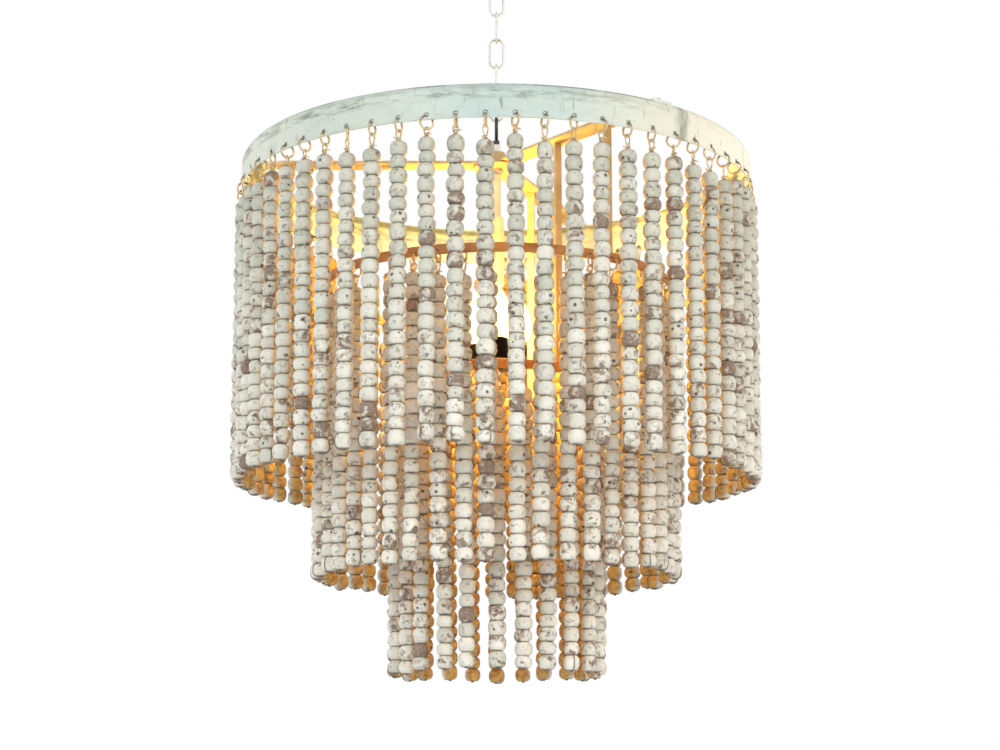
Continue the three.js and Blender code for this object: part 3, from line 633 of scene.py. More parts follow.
# %% [markdown]
# ## The hoop and the two rings
#
# A band is one closed profile carried round the axis. Where a strand hangs, it has a small
# round hole. A boolean cut could make the holes, but it leaves ragged faces round them. So
# the grid has a block of finer columns at each hole: the four by four cells in its middle
# are left out, the points round them move onto a circle, and a short wall joins the outer
# face to the inner one.

# %% A band with round holes
# heights and widths of the grid lines past a hole, in hole radii
HOLE_STEPS = (-2.2, -1, -0.5, 0, 0.5, 1, 2.2)
# the rim of a hole, walked round over its five by five points
RIM_UP = np.array([0, 0, 0, 0, 0, 1, 2, 3, 4, 4, 4, 4, 4, 3, 2, 1])
RIM_ALONG = np.array([0, 1, 2, 3, 4, 4, 4, 4, 4, 3, 2, 1, 0, 0, 0, 0])


def hole_rows(radius, hole_z, hole_radius):
    """Seven [radius, z] points that climb past a hole."""
    return [(radius, hole_z + step) for step in np.array(HOLE_STEPS) * hole_radius]


def pierced_band(profile, hole_z, azimuths, hole_radius, gap_columns):
    """A looped [radius, z] profile carried round Z, with a round hole at each azimuth.
    After two points of an edge it climbs past the holes outside, and it comes down past them
    inside before two more. Azimuth 0 is the front, and it grows to the right.
    The numbers returned after the shape are 1 at the rims of the holes and 0 elsewhere."""
    profile = np.array(profile, float)
    outer_row, inner_row = 3, len(profile) - 8
    radius = profile[outer_row, 0]
    middle = np.radians(azimuths)
    # the columns from one hole to the next: its block, and then the gap
    block = np.array(HOLE_STEPS) * hole_radius / radius
    pitch = 2 * math.pi / len(azimuths)
    gap = np.linspace(block[-1], pitch + block[0], gap_columns + 2)[1:-1]
    column = np.concatenate([block, gap])
    rows, columns = len(profile), len(azimuths) * len(column)
    angle = np.tile((middle[:, None] + column).ravel(), (rows, 1))
    height = np.repeat(profile[:, 1:], columns, axis=1)
    reach = np.repeat(profile[:, :1], columns, axis=1)
    # the points on the edge of a square move in onto the circle
    share = np.array([-1, -0.5, 0, 0.5, 1])
    up, along = np.meshgrid(share, share, indexing="ij")
    rim = np.maximum(abs(up), abs(along)) == 1
    far = np.where(rim, np.hypot(up, along), 1)
    block_columns = (np.arange(len(azimuths)) * len(column))[:, None] + np.arange(1, 6)
    rims = np.zeros((rows, columns))
    for row, sense in ((outer_row, 1), (inner_row, -1)):
        pick = np.ix_(row + np.arange(5), block_columns.ravel())
        rims[pick] = np.repeat(rim[:, None, :], len(azimuths), 1).reshape(5, -1)
        turned_by = (along / far) * hole_radius / radius
        angle[pick] = (middle[None, :, None] + turned_by[:, None, :]).reshape(5, -1)
        lifted = sense * (up / far) * hole_radius
        height[pick] = np.repeat(hole_z + lifted[:, None, :], len(azimuths), 1).reshape(5, -1)
    points = np.stack([reach * np.sin(angle), -reach * np.cos(angle), height], -1).reshape(-1, 3)
    # the cells in the holes are left out
    faces = grid_faces(rows, columns, True)
    row, column_of = faces[:, 0] // columns, faces[:, 0] % columns % len(column)
    in_block = (column_of >= 1) & (column_of < 5)
    in_outer = (row >= outer_row) & (row < outer_row + 4)
    in_inner = (row >= inner_row) & (row < inner_row + 4)
    faces = faces[~(in_block & (in_outer | in_inner))]
    # and a wall joins the rim outside to the rim inside
    start = block_columns[:, :1] + RIM_ALONG
    outside = (outer_row + RIM_UP) * columns + start
    inside = (inner_row + 4 - RIM_UP) * columns + start
    wall = np.stack([outside, np.roll(outside, -1, 1), np.roll(inside, -1, 1), inside], -1)
    faces = np.concatenate([faces, wall.reshape(-1, 4)])
    used, renumbered = np.unique(faces, return_inverse=True)
    return (points[used], [renumbered.reshape(-1, 4)]), {"rim": rims.ravel()[used]}


print("the rim of a hole has", len(RIM_UP), "points")

# %% The hoop
HOLE_RADIUS = 1.45
EDGE = 0.4
HOOP_RADIUS, HOOP_WALL, HOOP_SHOULDER, HOOP_LIP, HOOP_EDGE = 271, 1.5, 9, 251, 0.5
HOOP_HOLE_Z, HOOP_ROWS = -286.3, (-278.0, -271.0)
ARC_STEPS = 9
outer_azimuths = 3.8 + 6 * np.arange(60)


def arc(middle, radius, first, last, steps):
    """Points on an arc of [radius, z], from one angle in degrees to another."""
    angle = np.radians(np.linspace(first, last, steps))
    return [(middle[0] + radius * math.cos(a), middle[1] + radius * math.sin(a)) for a in angle]


out, back = HOOP_RADIUS, HOOP_RADIUS - HOOP_WALL
shoulder = (HOOP_RADIUS - HOOP_SHOULDER, HOOP_TOP - HOOP_SHOULDER)
climb = ([(out - HOOP_EDGE, HOOP_BOTTOM), (out, HOOP_BOTTOM + HOOP_EDGE)]
         + hole_rows(out, HOOP_HOLE_Z, HOLE_RADIUS) + [(out, z) for z in HOOP_ROWS])
lip = [(HOOP_LIP + EDGE, HOOP_TOP), (HOOP_LIP, HOOP_TOP - EDGE),
       (HOOP_LIP, HOOP_TOP - HOOP_WALL + EDGE), (HOOP_LIP + EDGE, HOOP_TOP - HOOP_WALL)]
descent = ([(back, z) for z in HOOP_ROWS[::-1]]
           + hole_rows(back, HOOP_HOLE_Z, HOLE_RADIUS)[::-1]
           + [(back, HOOP_BOTTOM + HOOP_EDGE), (back + HOOP_EDGE, HOOP_BOTTOM)])
hoop_profile = (climb + arc(shoulder, HOOP_SHOULDER, 0, 90, ARC_STEPS) + lip
                + arc(shoulder, HOOP_SHOULDER - HOOP_WALL, 90, 0, ARC_STEPS) + descent)
hoop_shape, hoop_rims = pierced_band(hoop_profile, HOOP_HOLE_Z, outer_azimuths, HOLE_RADIUS, 5)
make_piece("hoop_shell", hoop_shape, milk_paint, "fixture", ["hoop"],
           crease=50, numbers=hoop_rims)
print("the hoop has", len(hoop_shape[1][0]), "faces")

# %% The two rings
MID_RADIUS, MID_HOLE_Z = 184.5, -394
INNER_RADIUS, INNER_HOLE_Z = 106, -493
mid_azimuths = 6 + 8 * np.arange(45)
inner_azimuths = 15 * np.arange(24)


def flat_ring(radius, hole_z, azimuths, gap_columns):
    """A flat ring of 10 by 2 mm iron, with its holes halfway up."""
    half, out, back = 5, radius + 1, radius - 1
    profile = ([(out - EDGE, hole_z - half), (out, hole_z - half + EDGE)]
               + hole_rows(out, hole_z, HOLE_RADIUS)
               + [(out, hole_z + half - EDGE), (out - EDGE, hole_z + half),
                  (back + EDGE, hole_z + half), (back, hole_z + half - EDGE)]
               + hole_rows(back, hole_z, HOLE_RADIUS)[::-1]
               + [(back, hole_z - half + EDGE), (back + EDGE, hole_z - half)])
    return pierced_band(profile, hole_z, azimuths, HOLE_RADIUS, gap_columns)


mid_shape, mid_rims = flat_ring(MID_RADIUS, MID_HOLE_Z, mid_azimuths, 4)
inner_shape, inner_rims = flat_ring(INNER_RADIUS, INNER_HOLE_Z, inner_azimuths, 6)
make_piece("mid_ring_band", mid_shape, ring_paint, "fixture", ["mid_ring"],
           crease=50, numbers=mid_rims)
make_piece("inner_ring_band", inner_shape, ring_paint, "fixture",
           ["inner_ring"], crease=50, numbers=inner_rims)
print("the rings have", len(mid_shape[1][0]), "and", len(inner_shape[1][0]), "faces")

# %% [markdown]
# ## The beads
#
# A turned bead is squarer than a ball and flatter: its profile is a superellipse, and both
# ends are cut flat where the beads press on each other. Every bead is the same small mesh of
# a few dozen faces, made wider or lower, tilted a little on its cord and turned at random,
# because the strands of the real object are never quite even. A bead of many more faces
# would be rounder, but there are thousands of them and each is small in the picture.

# %% One bead
BEAD_RADIUS = 9.2
BEAD_SEGMENTS = 12
BEAD_POWER = 2 / 2.6
BEAD_ANGLES = (-60, -39, -13, 13, 39, 60)


def swollen(angle):
    """A point of the bead's outline: the cosine and the sine of an angle, each raised to a
    power below one, which swells the curve from a circle towards a square."""
    return (np.cos(angle) ** BEAD_POWER,
            np.sign(angle) * np.abs(np.sin(angle)) ** BEAD_POWER)


bead_radii, bead_heights = swollen(np.radians(BEAD_ANGLES))
bead_heights = bead_heights / bead_heights.max()
bead = turned(np.stack([bead_radii / bead_radii.max(), bead_heights], -1), BEAD_SEGMENTS)
bead_ends = np.abs(bead[0][:, 2])
print("a bead has", sum(len(faces) for faces in bead[1]), "faces")

# %% [markdown]
# ## The strands
#
# A strand hangs from a brass jump ring that passes through its hole, then a small loop, then
# its beads. Its cord runs down through them and is knotted under the last one, and on nearly
# half of the strands it is led back up round that bead. A rope could be simulated, but a
# loaded cord hangs straight, so a straight line with small random offsets does: a few strands
# start lower, lean a few millimetres or lack a bead. The beads and the cords of a curtain ride
# together on its body. Their wires are not attached to it, and keep their place.

# %% The tiers
TIERS = {
    "outer": {"radius": 268.8, "hook": -286.62, "head": -306.92, "foot": -604.92,
              "beads": 21, "per": 6, "first": 18.8, "step": 6, "digits": 2},
    "mid": {"radius": MID_RADIUS, "hook": -394.22, "head": -414.52, "foot": -704.52,
            "beads": 20, "per": 9, "first": 38.0, "step": 8, "digits": 1},
    "inner": {"radius": INNER_RADIUS, "hook": -493.22, "head": -513.52, "foot": -802.52,
              "beads": 20, "per": 6, "first": 37.5, "step": 15, "digits": 1},
}
rng = np.random.default_rng(11)
print("tiers:", list(TIERS))

# %% The wires at the head of a strand
RING_RADIUS, RING_WIRE, RING_STEPS, RING_SIDES = 6.5, 1.1, 16, 5
LOOP_WIDTH, LOOP_HEIGHT, LOOP_WIRE, LOOP_STEPS, LOOP_SIDES = 2.7, 8.2, 0.8, 12, 4
NECK_RADIUS, NECK_RISE, NECK_WIRE, NECK_TURN = 1.9, 4.0, 0.65, 14
# how far the cut end of the neck's wire springs out, and how suddenly
NECK_SPRING, NECK_SUDDEN = 3.2, 7
# how far below its top a jump ring takes painted shade
HOLE_SHADE_DEPTH = 5

circle = 2 * math.pi * np.arange(RING_STEPS) / RING_STEPS
jump_ring = tube(np.stack([0 * circle, RING_RADIUS * np.cos(circle),
                           RING_RADIUS * np.sin(circle) - RING_RADIUS], -1),
                 RING_WIRE, (1, 0, 0), RING_SIDES, looped=True)
# painted shade on the ring's top, where it passes through the hole: 1 at the top, 0 from that
# depth down
ring_hole_shade = np.clip(1 + jump_ring[0][:, 2] / HOLE_SHADE_DEPTH, 0, 1)
# a drop: pointed at its foot, and round where the ring passes; 1.3 is the largest value
# of the sine times one less the cosine, so that the width comes out as named
drop = 2 * math.pi * np.arange(LOOP_STEPS) / LOOP_STEPS
small_loop = tube(np.stack([LOOP_WIDTH * np.sin(drop) * (1 - np.cos(drop)) / 1.3, 0 * drop,
                            (1 - np.cos(drop)) / 2 * LOOP_HEIGHT], -1),
                  LOOP_WIRE, (0, 1, 0), LOOP_SIDES, looped=True)
# a helix of a little over two turns, whose end springs out like the cut end of a wire
wind = np.linspace(0, 1, 19)
wind_reach = NECK_RADIUS + NECK_SPRING * wind ** NECK_SUDDEN
neck = tube(np.stack([wind_reach * np.cos(NECK_TURN * wind),
                      wind_reach * np.sin(NECK_TURN * wind), NECK_RISE * wind], -1),
            NECK_WIRE, (0, 0, 1), LOOP_SIDES)
print("wires of a strand have", len(gathered([jump_ring, small_loop, neck])[0]), "points")

# %% The line and the beads of a strand
# millimetres: how much lower a strand may start, and how rarely; the room for its knot
SLACK, SLACK_POWER, KNOT_ROOM = 8.5, 1.4, 4
FOOT_LIFT, FRONT_LIFT = (1.6, 5.2), 1.5
LEAN, HANG_IN, OFF_LINE = 4.0, 2.5, 0.6
# shares of the mean bead, and degrees of tilt
BEAD_HEIGHTS, STRAND_WIDTHS, BEAD_WIDTHS, TILT = (0.84, 1.16), (0.91, 1.0), (0.93, 1.0), 3.2
WORN_SHARE, WORN_BEADS, OTHER_BEADS = 0.07, (0.5, 0.95), (0, 0.5)
TINT_SPREAD, SEEDS = 0.22, 60


def strand_line(tier, azimuth, bow):
    """Where a strand hangs: the angle and the way out from the axis, the ends of its row of
    beads, and the bead heights, which fill that row. A bow of 1 or -1 marks the last strand
    at an edge of its curtain, which leans only inwards, so that curtains stay apart."""
    angle = math.radians(azimuth)
    outward = np.array([math.sin(angle), -math.cos(angle), 0])
    along = np.array([math.cos(angle), math.sin(angle), 0])
    head = tier["head"] - SLACK * rng.random() ** SLACK_POWER
    front = (1 + math.cos(angle)) / 2
    foot = tier["foot"] + rng.uniform(*FOOT_LIFT) + FRONT_LIFT * front
    mean_pitch = (tier["head"] - tier["foot"] - KNOT_ROOM) / tier["beads"]
    heights = rng.uniform(*BEAD_HEIGHTS, int(round((head - foot) / mean_pitch)))
    heights *= (head - foot) / heights.sum()
    sway = rng.normal(0, LEAN / 2)
    sway = np.clip(sway, -LEAN, LEAN) if bow == 0 else -bow * min(abs(sway), LEAN)
    top = outward * tier["radius"] + (0, 0, head)
    bottom = top + along * sway - outward * rng.uniform(0, HANG_IN) - (0, 0, head - foot)
    return angle, outward, top, bottom, heights


def strand_beads(outward, top, bottom, heights):
    """The beads and their numbers, and the middle, radius and height of the last bead. Each
    sits a little off the line, is tilted a few degrees and turned at random about it."""
    count = len(heights)
    down = (np.cumsum(heights) - heights / 2) / heights.sum()
    middles = top + down[:, None] * (bottom - top)
    middles[:, :2] += np.clip(rng.normal(0, OFF_LINE / 2, (count, 2)), -OFF_LINE, OFF_LINE)
    tilt_way, tilt = rng.uniform(0, 2 * math.pi, count), np.radians(rng.normal(0, TILT, count))
    turns = turn_about("Z", tilt_way) @ turn_about("X", tilt) @ turn_about(
        "Z", rng.uniform(0, 2 * math.pi, count))
    widths = BEAD_RADIUS * rng.uniform(*STRAND_WIDTHS) * rng.uniform(*BEAD_WIDTHS, count)
    beads = scattered(bead, turns, middles, np.stack([widths, widths, heights / 2], -1))
    wear = np.where(rng.random(count) < WORN_SHARE, rng.uniform(*WORN_BEADS, count),
                    rng.uniform(*OTHER_BEADS, count))
    # painted shade: 1 at the top of a strand down to 0 at its foot, plus a random tone
    tint = np.clip(1 - down + rng.normal(0, TINT_SPREAD, count), 0, 1)
    numbers = {"tint": tint, "wear": wear, "seed": rng.uniform(0, SEEDS, count)}
    numbers = {key: np.repeat(values, len(bead[0])) for key, values in numbers.items()}
    # how near each point is to an end, where painted shade and a little dirt darken the bead
    numbers["end"] = np.tile(bead_ends, count)
    # how much each point faces the axis, which sets the painted lamp light
    from_middle = beads[0].reshape(count, -1, 3) - middles[:, None]
    numbers["inward"] = np.clip(-from_middle @ outward / widths[:, None], 0, 1).ravel()
    return beads, numbers, (middles[-1], widths[-1], heights[-1])


print("a strand's line and beads ready")

# %% The wires and the cord of a strand
RING_TWIST, LOOP_TWIST = math.radians(26), 0.5
LOOP_GAP, NECK_STRETCH = 0.4, (0.7, 1.3)
CORD_RADIUS, CORD_ABOVE, CORD_BELOW, CORD_SIDES = 0.6, 0.6, 0.9, 5
KNOT_RADIUS, KNOT_CORD, KNOT_BELOW, KNOT_STEPS = 1.1, 0.85, 0.5, 7
# the cord round a last bead: how often, from which angle to which, how thick and how far off
WRAPPED_SHARE, WRAP_ANGLES, WRAP_CORD, WRAP_OFF = 0.45, (-84, 64), 0.5, (0.45, 0.35)


def strand_wires(tier, angle, outward, head):
    """The jump ring, the loop stretched to reach the beads, the neck, and the painted shade on the
    ring's top.
    """
    twist = angle + rng.normal(0, RING_TWIST)
    hook = outward * tier["radius"] + (0, 0, tier["hook"])
    ring = scattered(jump_ring, turn_about("Z", [twist]), [hook])
    loop_top = tier["hook"] - 2 * RING_RADIUS + RING_WIRE + LOOP_WIRE
    loop_foot = head + LOOP_GAP
    loop_at = outward * tier["radius"] + (0, 0, loop_foot)
    loop = scattered(small_loop, turn_about("Z", [twist + rng.normal(0, LOOP_TWIST)]), [loop_at],
                     [(1, 1, (loop_top - loop_foot) / LOOP_HEIGHT)])
    wound = scattered(neck, turn_about("Z", rng.uniform(0, 2 * math.pi, 1)), [loop_at],
                      [(1, 1, rng.uniform(*NECK_STRETCH))])
    wires = gathered([ring, loop, wound])
    hole_shade = np.zeros(len(wires[0]))
    hole_shade[:len(ring_hole_shade)] = ring_hole_shade
    return wires, hole_shade


def strand_cord(top, bottom, middle, radius, height):
    """The cord and its knot, and on some strands a wrap, which follows the outline of the
    last bead a little way off."""
    line = np.linspace(top + (0, 0, CORD_ABOVE), bottom - (0, 0, CORD_BELOW), 6)
    cords = [tube(line, CORD_RADIUS, (1, 0, 0), CORD_SIDES)]
    knot = 2 * math.pi * np.arange(KNOT_STEPS) / KNOT_STEPS
    knot = np.stack([np.cos(knot), np.sin(knot), 0 * knot], -1) * KNOT_RADIUS
    cords.append(tube(bottom - (0, 0, KNOT_BELOW) + knot, KNOT_CORD, (0, 0, 1), CORD_SIDES,
                      looped=True))
    if rng.random() < WRAPPED_SHARE:
        round_bead, up_bead = swollen(np.radians(np.linspace(*WRAP_ANGLES, 12)))
        reach = round_bead * (radius + WRAP_OFF[0])
        lift = up_bead * (height / 2 + WRAP_OFF[1]) / swollen(math.radians(BEAD_ANGLES[-1]))[1]
        way = rng.uniform(0, 2 * math.pi)
        wrap = middle + np.stack([reach * math.cos(way), reach * math.sin(way), lift], -1)
        cords.append(tube(wrap, WRAP_CORD, (-math.sin(way), math.cos(way), 0), CORD_SIDES))
    return gathered(cords)


def strand(tier, azimuth, bow):
    """One strand: its beads, wires and cord as shapes, and the numbers of its beads and of
    its wires. Its parts draw their random numbers in this order."""
    angle, outward, top, bottom, heights = strand_line(tier, azimuth, bow)
    beads, numbers, last_bead = strand_beads(outward, top, bottom, heights)
    wires, hole_shade = strand_wires(tier, angle, outward, top[2])
    return beads, wires, strand_cord(top, bottom, *last_bead), numbers, hole_shade


print("a strand's wires and cord ready")

# %% Hang the strands
bead_total = 0
for tier_name, tier in TIERS.items():
    curtains = int(round(360 / tier["step"] / tier["per"]))
    for index in range(curtains):
        middle = tier["first"] + index * tier["per"] * tier["step"]
        offsets = (np.arange(tier["per"]) - (tier["per"] - 1) / 2) * tier["step"]
        beads, wires, cords, numbers, hole_shade = zip(*[
            strand(tier, middle + offset,
                   np.sign(offset) if abs(offset) == abs(offsets[0]) else 0)
            for offset in offsets])
        number = f"{index + 1:0{tier['digits']}d}"
        body = f"{tier_name}_curtain_{number}"
        numbers = {key: np.concatenate([row[key] for row in numbers]) for key in numbers[0]}
        make_piece(f"{tier_name}_beads_{number}", gathered(beads), limewash, body,
                   [f"{tier_name}_strands_{number}"], crease=60, numbers=numbers)
        make_piece(f"{tier_name}_wires_{number}", gathered(wires), brass_wire, body,
                   crease=180, numbers={"hole_shade": np.concatenate(hole_shade)},
                   bend=(tier["hook"] - 1, tier["head"]))
        make_piece(f"{tier_name}_cords_{number}", gathered(cords), waxed_cord, body,
                   crease=80)
        bead_total += len(numbers["seed"]) // len(bead[0])
print("beads on all strands:", bead_total)

# %% [markdown]
# ## The chain and the eye
#
# Each link is round wire bent to two half circles with straight sides. One shape serves for
# all five, turned by a quarter for every second link. The lifting eye above the hub is a
# ring on a threaded shank, and the loop under the canopy is its twin, turned the other way
# up. Wire bent by a curve object would look the same, but worked out in numpy each point
# knows how far inside the bow it lies, and there, where the links touch, it takes painted
# shade.

# %% Chain
LINK_ROD, LINK_WIDTH, LINK_LENGTH = 1.3, 17.7, 35.4
LINK_TOPS = (-50.2, -80.1, -110.0, -139.9, -169.8)
ROD_STEPS, ROD_SIDES = 48, 12
# the share of painted shade along a link's inner sides, against its bows
SIDE_SHADE = 0.45


def link(top, crossways):
    """A chain link: a circle carried round a path of two half circles and straight sides. Its
    numbers are painted shade: most inside the bows, where the links touch, and a little along
    its inner sides."""
    bow = LINK_WIDTH / 2 - LINK_ROD
    straight = LINK_LENGTH / 2 - LINK_WIDTH / 2
    angle = 2 * math.pi * np.arange(ROD_STEPS) / ROD_STEPS
    lift = np.where(np.sin(angle) >= 0, straight, -straight)
    wide, high = bow * np.cos(angle), bow * np.sin(angle) + lift + top - LINK_LENGTH / 2
    flat = 0 * angle
    path = np.stack([flat, wide, high] if crossways else [wide, flat, high], -1)
    shape = tube(path, LINK_ROD, (1, 0, 0) if crossways else (0, 1, 0), ROD_SIDES, looped=True)
    from_path = (shape[0].reshape(ROD_STEPS, ROD_SIDES, 3) - path[:, None]) / LINK_ROD
    inward = path - (0, 0, top - LINK_LENGTH / 2)
    inward[:, 2] -= np.clip(inward[:, 2], -straight, straight)
    inward /= -np.linalg.norm(inward, axis=1, keepdims=True)
    inside = np.clip(np.einsum("nki,ni->nk", from_path, inward), 0, 1)
    bowed = np.abs(np.sin(angle))[:, None] ** 4
    return shape, {"link_shade": (inside * (SIDE_SHADE + (1 - SIDE_SHADE) * bowed)).ravel()}


for index, top in enumerate(LINK_TOPS, 1):
    shape, shade_numbers = link(top, index % 2 == 0)
    make_piece(f"link_wire_{index}", shape, chain_white, f"link_{index}",
               [f"chain_link_{index}"], crease=180, numbers=shade_numbers)
print("chain of", len(LINK_TOPS), "links")

# %% Canopy loop and lifting eye
# profiles of [radius, z] in millimetres
LOOP_STUD = [(0.1, -37.6), (5.5, -37.6), (5.5, -35.1), (4, -35.1), (4, -2.3), (0.1, -2.3)]
EYE_SHANK = [(0.1, -249), (3, -249), (3, -231), (3.5, -230), (3.5, -226.2), (0.1, -226.2)]
# middle height, radius and rod of a ring
CANOPY_RING, EYE_RING = (-46.1, 9, 2), (-212.5, 12.1, 1.9)
STUD_SEGMENTS = 32


def eye_ring(middle_z, radius, rod):
    """A ring of round rod that stands upright across the X axis."""
    angle = 2 * math.pi * np.arange(ROD_STEPS) / ROD_STEPS
    path = np.stack([0 * angle, radius * np.cos(angle), middle_z + radius * np.sin(angle)], -1)
    return tube(path, rod, (1, 0, 0), ROD_SIDES, looped=True)


loop_stud = turned(eased(LOOP_STUD, 0.5), STUD_SEGMENTS)
eye_shank = turned(eased(EYE_SHANK, 0.4), STUD_SEGMENTS)
make_piece("canopy_loop_ring", gathered([eye_ring(*CANOPY_RING), loop_stud]), chain_white,
           "ceiling_loop", ["canopy_loop"])
make_piece("lifting_eye", gathered([eye_ring(*EYE_RING), eye_shank]), black_iron, "fixture",
           ["fixture_eye"])
print("canopy loop and lifting eye made")

# %% [markdown]
# ## Nuts, hub and stem
#
# These are turned or six-sided parts. A nut is a hexagon whose corners are cut back by a
# cone. A modifier could bevel it, but a bevel is even all round, and the cone bites only
# into the corners: the outline wanders between the flat and the corner, and the height of
# its rim falls with that distance. The other parts are profiles with eased corners.

# %% Nuts
NUT_SEGMENTS, NUT_FALL, NUT_FACE = 48, 0.6, 0.96
# corner radius, top, bottom and bore in millimetres, then the material, slot and CAD part
NUTS = {
    "eye_locknut": (5.5, -231.3, -239.7, 3.3, chain_white, "chain_paint", "eye_nut"),
    "hub_locknut": (7.5, -258.6, -263.6, 4.95, zinc_steel, "steel", "hub_nut"),
    "stem_locknut": (6.5, -473.9, -478.9, 3.3, black_iron, "black_iron", "stem_nut"),
}


def hex_nut(corner_radius, top, bottom, bore):
    """A nut: the outline's radius is the flat's distance over the cosine of the angle from
    the flat's middle, and its rims fall in step with how far it reaches past the flats."""
    angle = 2 * math.pi * np.arange(NUT_SEGMENTS) / NUT_SEGMENTS
    flat = corner_radius * math.cos(math.pi / 6)
    outline = flat / np.cos((angle % (math.pi / 3)) - math.pi / 6)
    fall = NUT_FALL * (outline - flat)
    rows = [(bore, bottom), (flat * NUT_FACE, bottom), (outline, bottom + fall),
            (outline, top - fall), (flat * NUT_FACE, top), (bore, top)]
    points = np.stack([np.stack([radius * np.cos(angle), radius * np.sin(angle),
                                 z + 0 * angle], -1) for radius, z in rows])
    return points.reshape(-1, 3), [grid_faces(len(rows), NUT_SEGMENTS, True)]


for name, (*sizes, material, slot, node) in NUTS.items():
    make_piece(name, hex_nut(*sizes), material, "fixture", [node], crease=30)
print("nuts:", len(NUTS))

# %% Hub, stem and canopy
# profiles of [radius, z] in millimetres
HUB = [(0.1, -258.3), (25, -258.3), (25, -255.3), (10, -255.3), (10, -240), (0.1, -240)]
STEM = [(0.1, -483.9), (3, -483.9), (3, -470.3), (4.75, -470.3), (4.75, -387.2), (7, -387.2),
        (7, -384.2), (4.75, -384.2), (4.75, -263.9), (3, -263.9), (3, -249.3), (0.1, -249.3)]
SLEEVE = [(5.1, -383.9), (7.6, -383.9), (8, -383.5), (8, -312.3), (7.6, -311.9), (5.1, -311.9)]
RING_NUT = [(4.3, -34.8), (7.6, -34.8), (8.5, -34.2), (9, -33.2), (9, -29), (8.5, -28),
            (7.6, -27.3), (4.3, -27.3)]
# the canopy is a quarter ellipse outside and inside, between its neck and its rim
dome = arc((0, 0), 1, -90, 0, 14)
outer_dome = [(22 + 38 * across, -9 + 18 * down) for across, down in dome]
inner_dome = [(20.5 + 38 * across, -9 + 16.5 * down) for across, down in dome[::-1]]
CANOPY = ([(4.6, -27), (13, -27)] + outer_dome + [(60, -0.4), (59.6, 0), (58.9, 0), (58.5, -0.4)]
          + inner_dome + [(13, -25.5), (4.6, -25.5)])

make_piece("hub_casting", turned(eased(HUB, 1.2), 64), arm_paint, "fixture",
           ["hub"])
make_piece("stem_tube", turned(eased(STEM, 0.5), 40), cream_paint, "fixture",
           ["stem"])
make_piece("stem_card_sleeve", turned(SLEEVE, 40, looped=True), shaded_sleeve_paint, "fixture",
           ["stem_sleeve"])
make_piece("canopy_dome", turned(CANOPY, 96, looped=True), milk_paint, "ceiling_mount",
           ["canopy"])
make_piece("canopy_ring_nut", turned(RING_NUT, 48, looped=True), brass_sheet, "ceiling_mount",
           ["canopy_nut"])
print("hub, stem and canopy made")

# %% [markdown]
# ## The lamps
#
# Three candle bulbs stand in black sockets on a round plate. Each bulb is a thin glass shell
# with a brass screw base, and a bent filament glows in it. The filament could light the room
# by itself, but so thin a light comes out grainy. So the light comes from a small warm lamp
# inside each bulb, which gilds the bars and the backs of the beads.

# %% Outline of a bulb
# the swell is widest at a third of the height, and its side is a little flatter than a sine
SWELL_SKEW, SWELL_POWER, NECK_FADE, NECK_SHARE, BULB_TIP = 0.72, 0.82, 1.5, 0.12, 0.25


def bulb_line(radius, height, neck, foot, steps=18):
    """The outline of a candle bulb: a neck, a swell that is widest at a third of the height,
    and a tip. The swell is a sine that is skewed by raising the height share to a power."""
    share = np.linspace(0, 1, steps)
    swell = np.sin(math.pi * share ** SWELL_SKEW) ** SWELL_POWER
    grow = neck * (1 - share) ** NECK_FADE + (radius - NECK_SHARE * neck) * swell
    grow *= radius / grow.max()
    grow[0], grow[-1] = neck, BULB_TIP
    return np.stack([grow, foot + height * share], -1)


def inside_out(shape):
    """The same shape with its faces turned to the other side, for the inner wall of a shell."""
    points, groups = shape
    return points, [faces[:, ::-1] for faces in groups]


print("outline of a bulb ready")

# %% Sockets, bulbs and filaments
LAMP_CIRCLE, LAMP_AZIMUTHS, LAMP_SEGMENTS, BASE_SEGMENTS = 23.5, (0, 120, 240), 40, 32
BULB_RADIUS, BULB_HEIGHT, BULB_NECK, BULB_FOOT, BULB_WALL = 17.5, 59.7, 6.5, -447.7, 0.9
# the screw thread: its first and last height, then middle radius, depth and pitch
THREAD_ENDS, THREAD_RADIUS, THREAD_DEPTH, THREAD_PITCH = (-465.6, -448.4), 6.45, 0.35, 3.4
# the filament winds round its bulb's axis while it rises and comes down again
COIL_RADIUS, COIL_TURNS, COIL_FOOT, COIL_RISE, COIL_WIRE = 3.2, 4, -436, 26, 0.45
# [radius, z] in millimetres, with a groove round the outside and a deep bore
SOCKET = [(0.1, -470.3), (12, -470.3), (12, -464), (11.2, -462.5), (12, -461), (12, -449.3),
          (7.1, -449.3), (7.1, -466.3), (0.1, -466.3)]
rise = np.linspace(*THREAD_ENDS, 43)
thread = np.stack([THREAD_RADIUS + THREAD_DEPTH
                   * np.cos(2 * math.pi * (rise + 466) / THREAD_PITCH), rise], -1)
screw_base = np.concatenate([[(0.1, -466), (5.5, -466)], thread, [(6, -448), (0.1, -448)]])
outline = bulb_line(BULB_RADIUS, BULB_HEIGHT, BULB_NECK, BULB_FOOT)
lining = bulb_line(BULB_RADIUS - BULB_WALL, BULB_HEIGHT - 2 * BULB_WALL, BULB_NECK - BULB_WALL,
                   BULB_FOOT + BULB_WALL)
coil = np.linspace(0, 1, 60)
lamp_middles = [(LAMP_CIRCLE * math.sin(angle), -LAMP_CIRCLE * math.cos(angle))
                for angle in map(math.radians, LAMP_AZIMUTHS)]

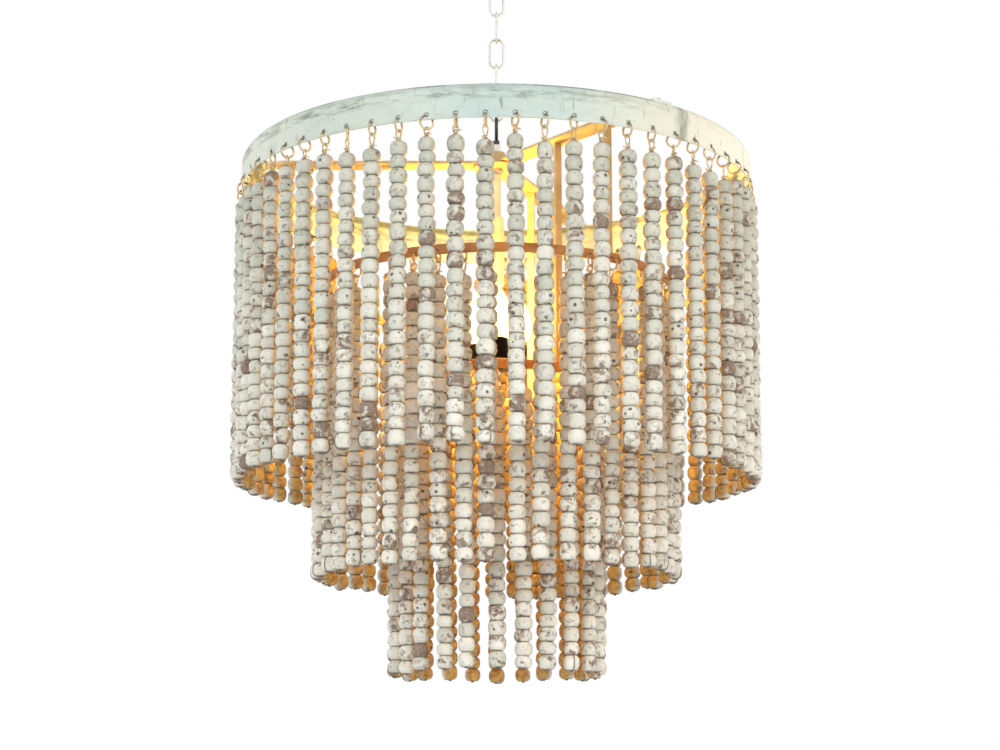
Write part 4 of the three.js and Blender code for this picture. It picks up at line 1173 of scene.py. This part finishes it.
for index, middle in enumerate(lamp_middles, 1):
    body = f"lamp_{index}"
    make_piece(f"lamp_holder_{index}", turned(eased(SOCKET, 0.6), LAMP_SEGMENTS, middle),
               black_plastic, "fixture", [f"socket_{index}"])
    make_piece(f"screw_base_{index}", turned(screw_base, BASE_SEGMENTS, middle), brass_sheet,
               body, [f"bulb_base_{index}"])
    glass = gathered([turned(outline, LAMP_SEGMENTS, middle),
                      inside_out(turned(lining, LAMP_SEGMENTS, middle))])
    shell = make_piece(f"bulb_shell_{index}", glass, lamp_glass, body,
                       [f"bulb_glass_{index}"], crease=80)
    wire = np.stack([middle[0] + COIL_RADIUS * np.cos(2 * math.pi * COIL_TURNS * coil),
                     middle[1] + COIL_RADIUS * np.sin(2 * math.pi * COIL_TURNS * coil),
                     COIL_FOOT + COIL_RISE * np.sin(math.pi * coil)], -1)
    filament = make_piece(f"filament_{index}", tube(wire, COIL_WIRE, (0.3, 0.2, 1), 6),
                          filament_wire, body, crease=180)
    # or else the glass and the wire would hold back the light of the lamp inside
    shell.visible_shadow = filament.visible_shadow = False
print("bulbs:", len(lamp_middles))

# %% The light of the lamps
LAMP_WATTS, LAMP_COLOUR, LAMP_SIZE, LAMP_Z = 1.8, (1.0, 0.64, 0.14), 0.012, -0.410

for index, middle in enumerate(lamp_middles, 1):
    lamp_data = bpy.data.lights.new(f"lamp_glow_{index}", "POINT")
    lamp_data.energy = LAMP_WATTS
    lamp_data.color = LAMP_COLOUR
    lamp_data.shadow_soft_size = LAMP_SIZE
    lamp = bpy.data.objects.new(f"lamp_glow_{index}", lamp_data)
    lamp.location = (middle[0] * MM, middle[1] * MM, LAMP_Z)
    bpy.context.scene.collection.objects.link(lamp)
print("three lamps lit")

# %% [markdown]
# ## Finishes for the parts that keep their shape
#
# The flat bars, the plate, the screws and the ceiling bracket are right as they are in the
# model. Making them again would add nothing that shows, so they only get their material.

# %% Finish the carried-over parts
KEPT = {f"{bar}_{index}": arm_paint for bar in ("spider_arm", "mid_drop", "inner_drop")
        for index in (1, 2, 3)}
KEPT |= {f"rim_screw_{index}": zinc_steel for index in (1, 2, 3)}
KEPT |= {"cluster_plate": black_iron, "canopy_bracket": zinc_steel}
for name, material in KEPT.items():
    for material_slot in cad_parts[name].material_slots:
        material_slot.material = material
print("carried-over parts:", len(KEPT))

# %% [markdown]
# ## Finish
#
# The colours are shown through the standard view transform. The box of the dressed
# model has to stay inside the box of the imported one.

# %% Finish
bpy.context.scene.view_settings.view_transform = "Standard"
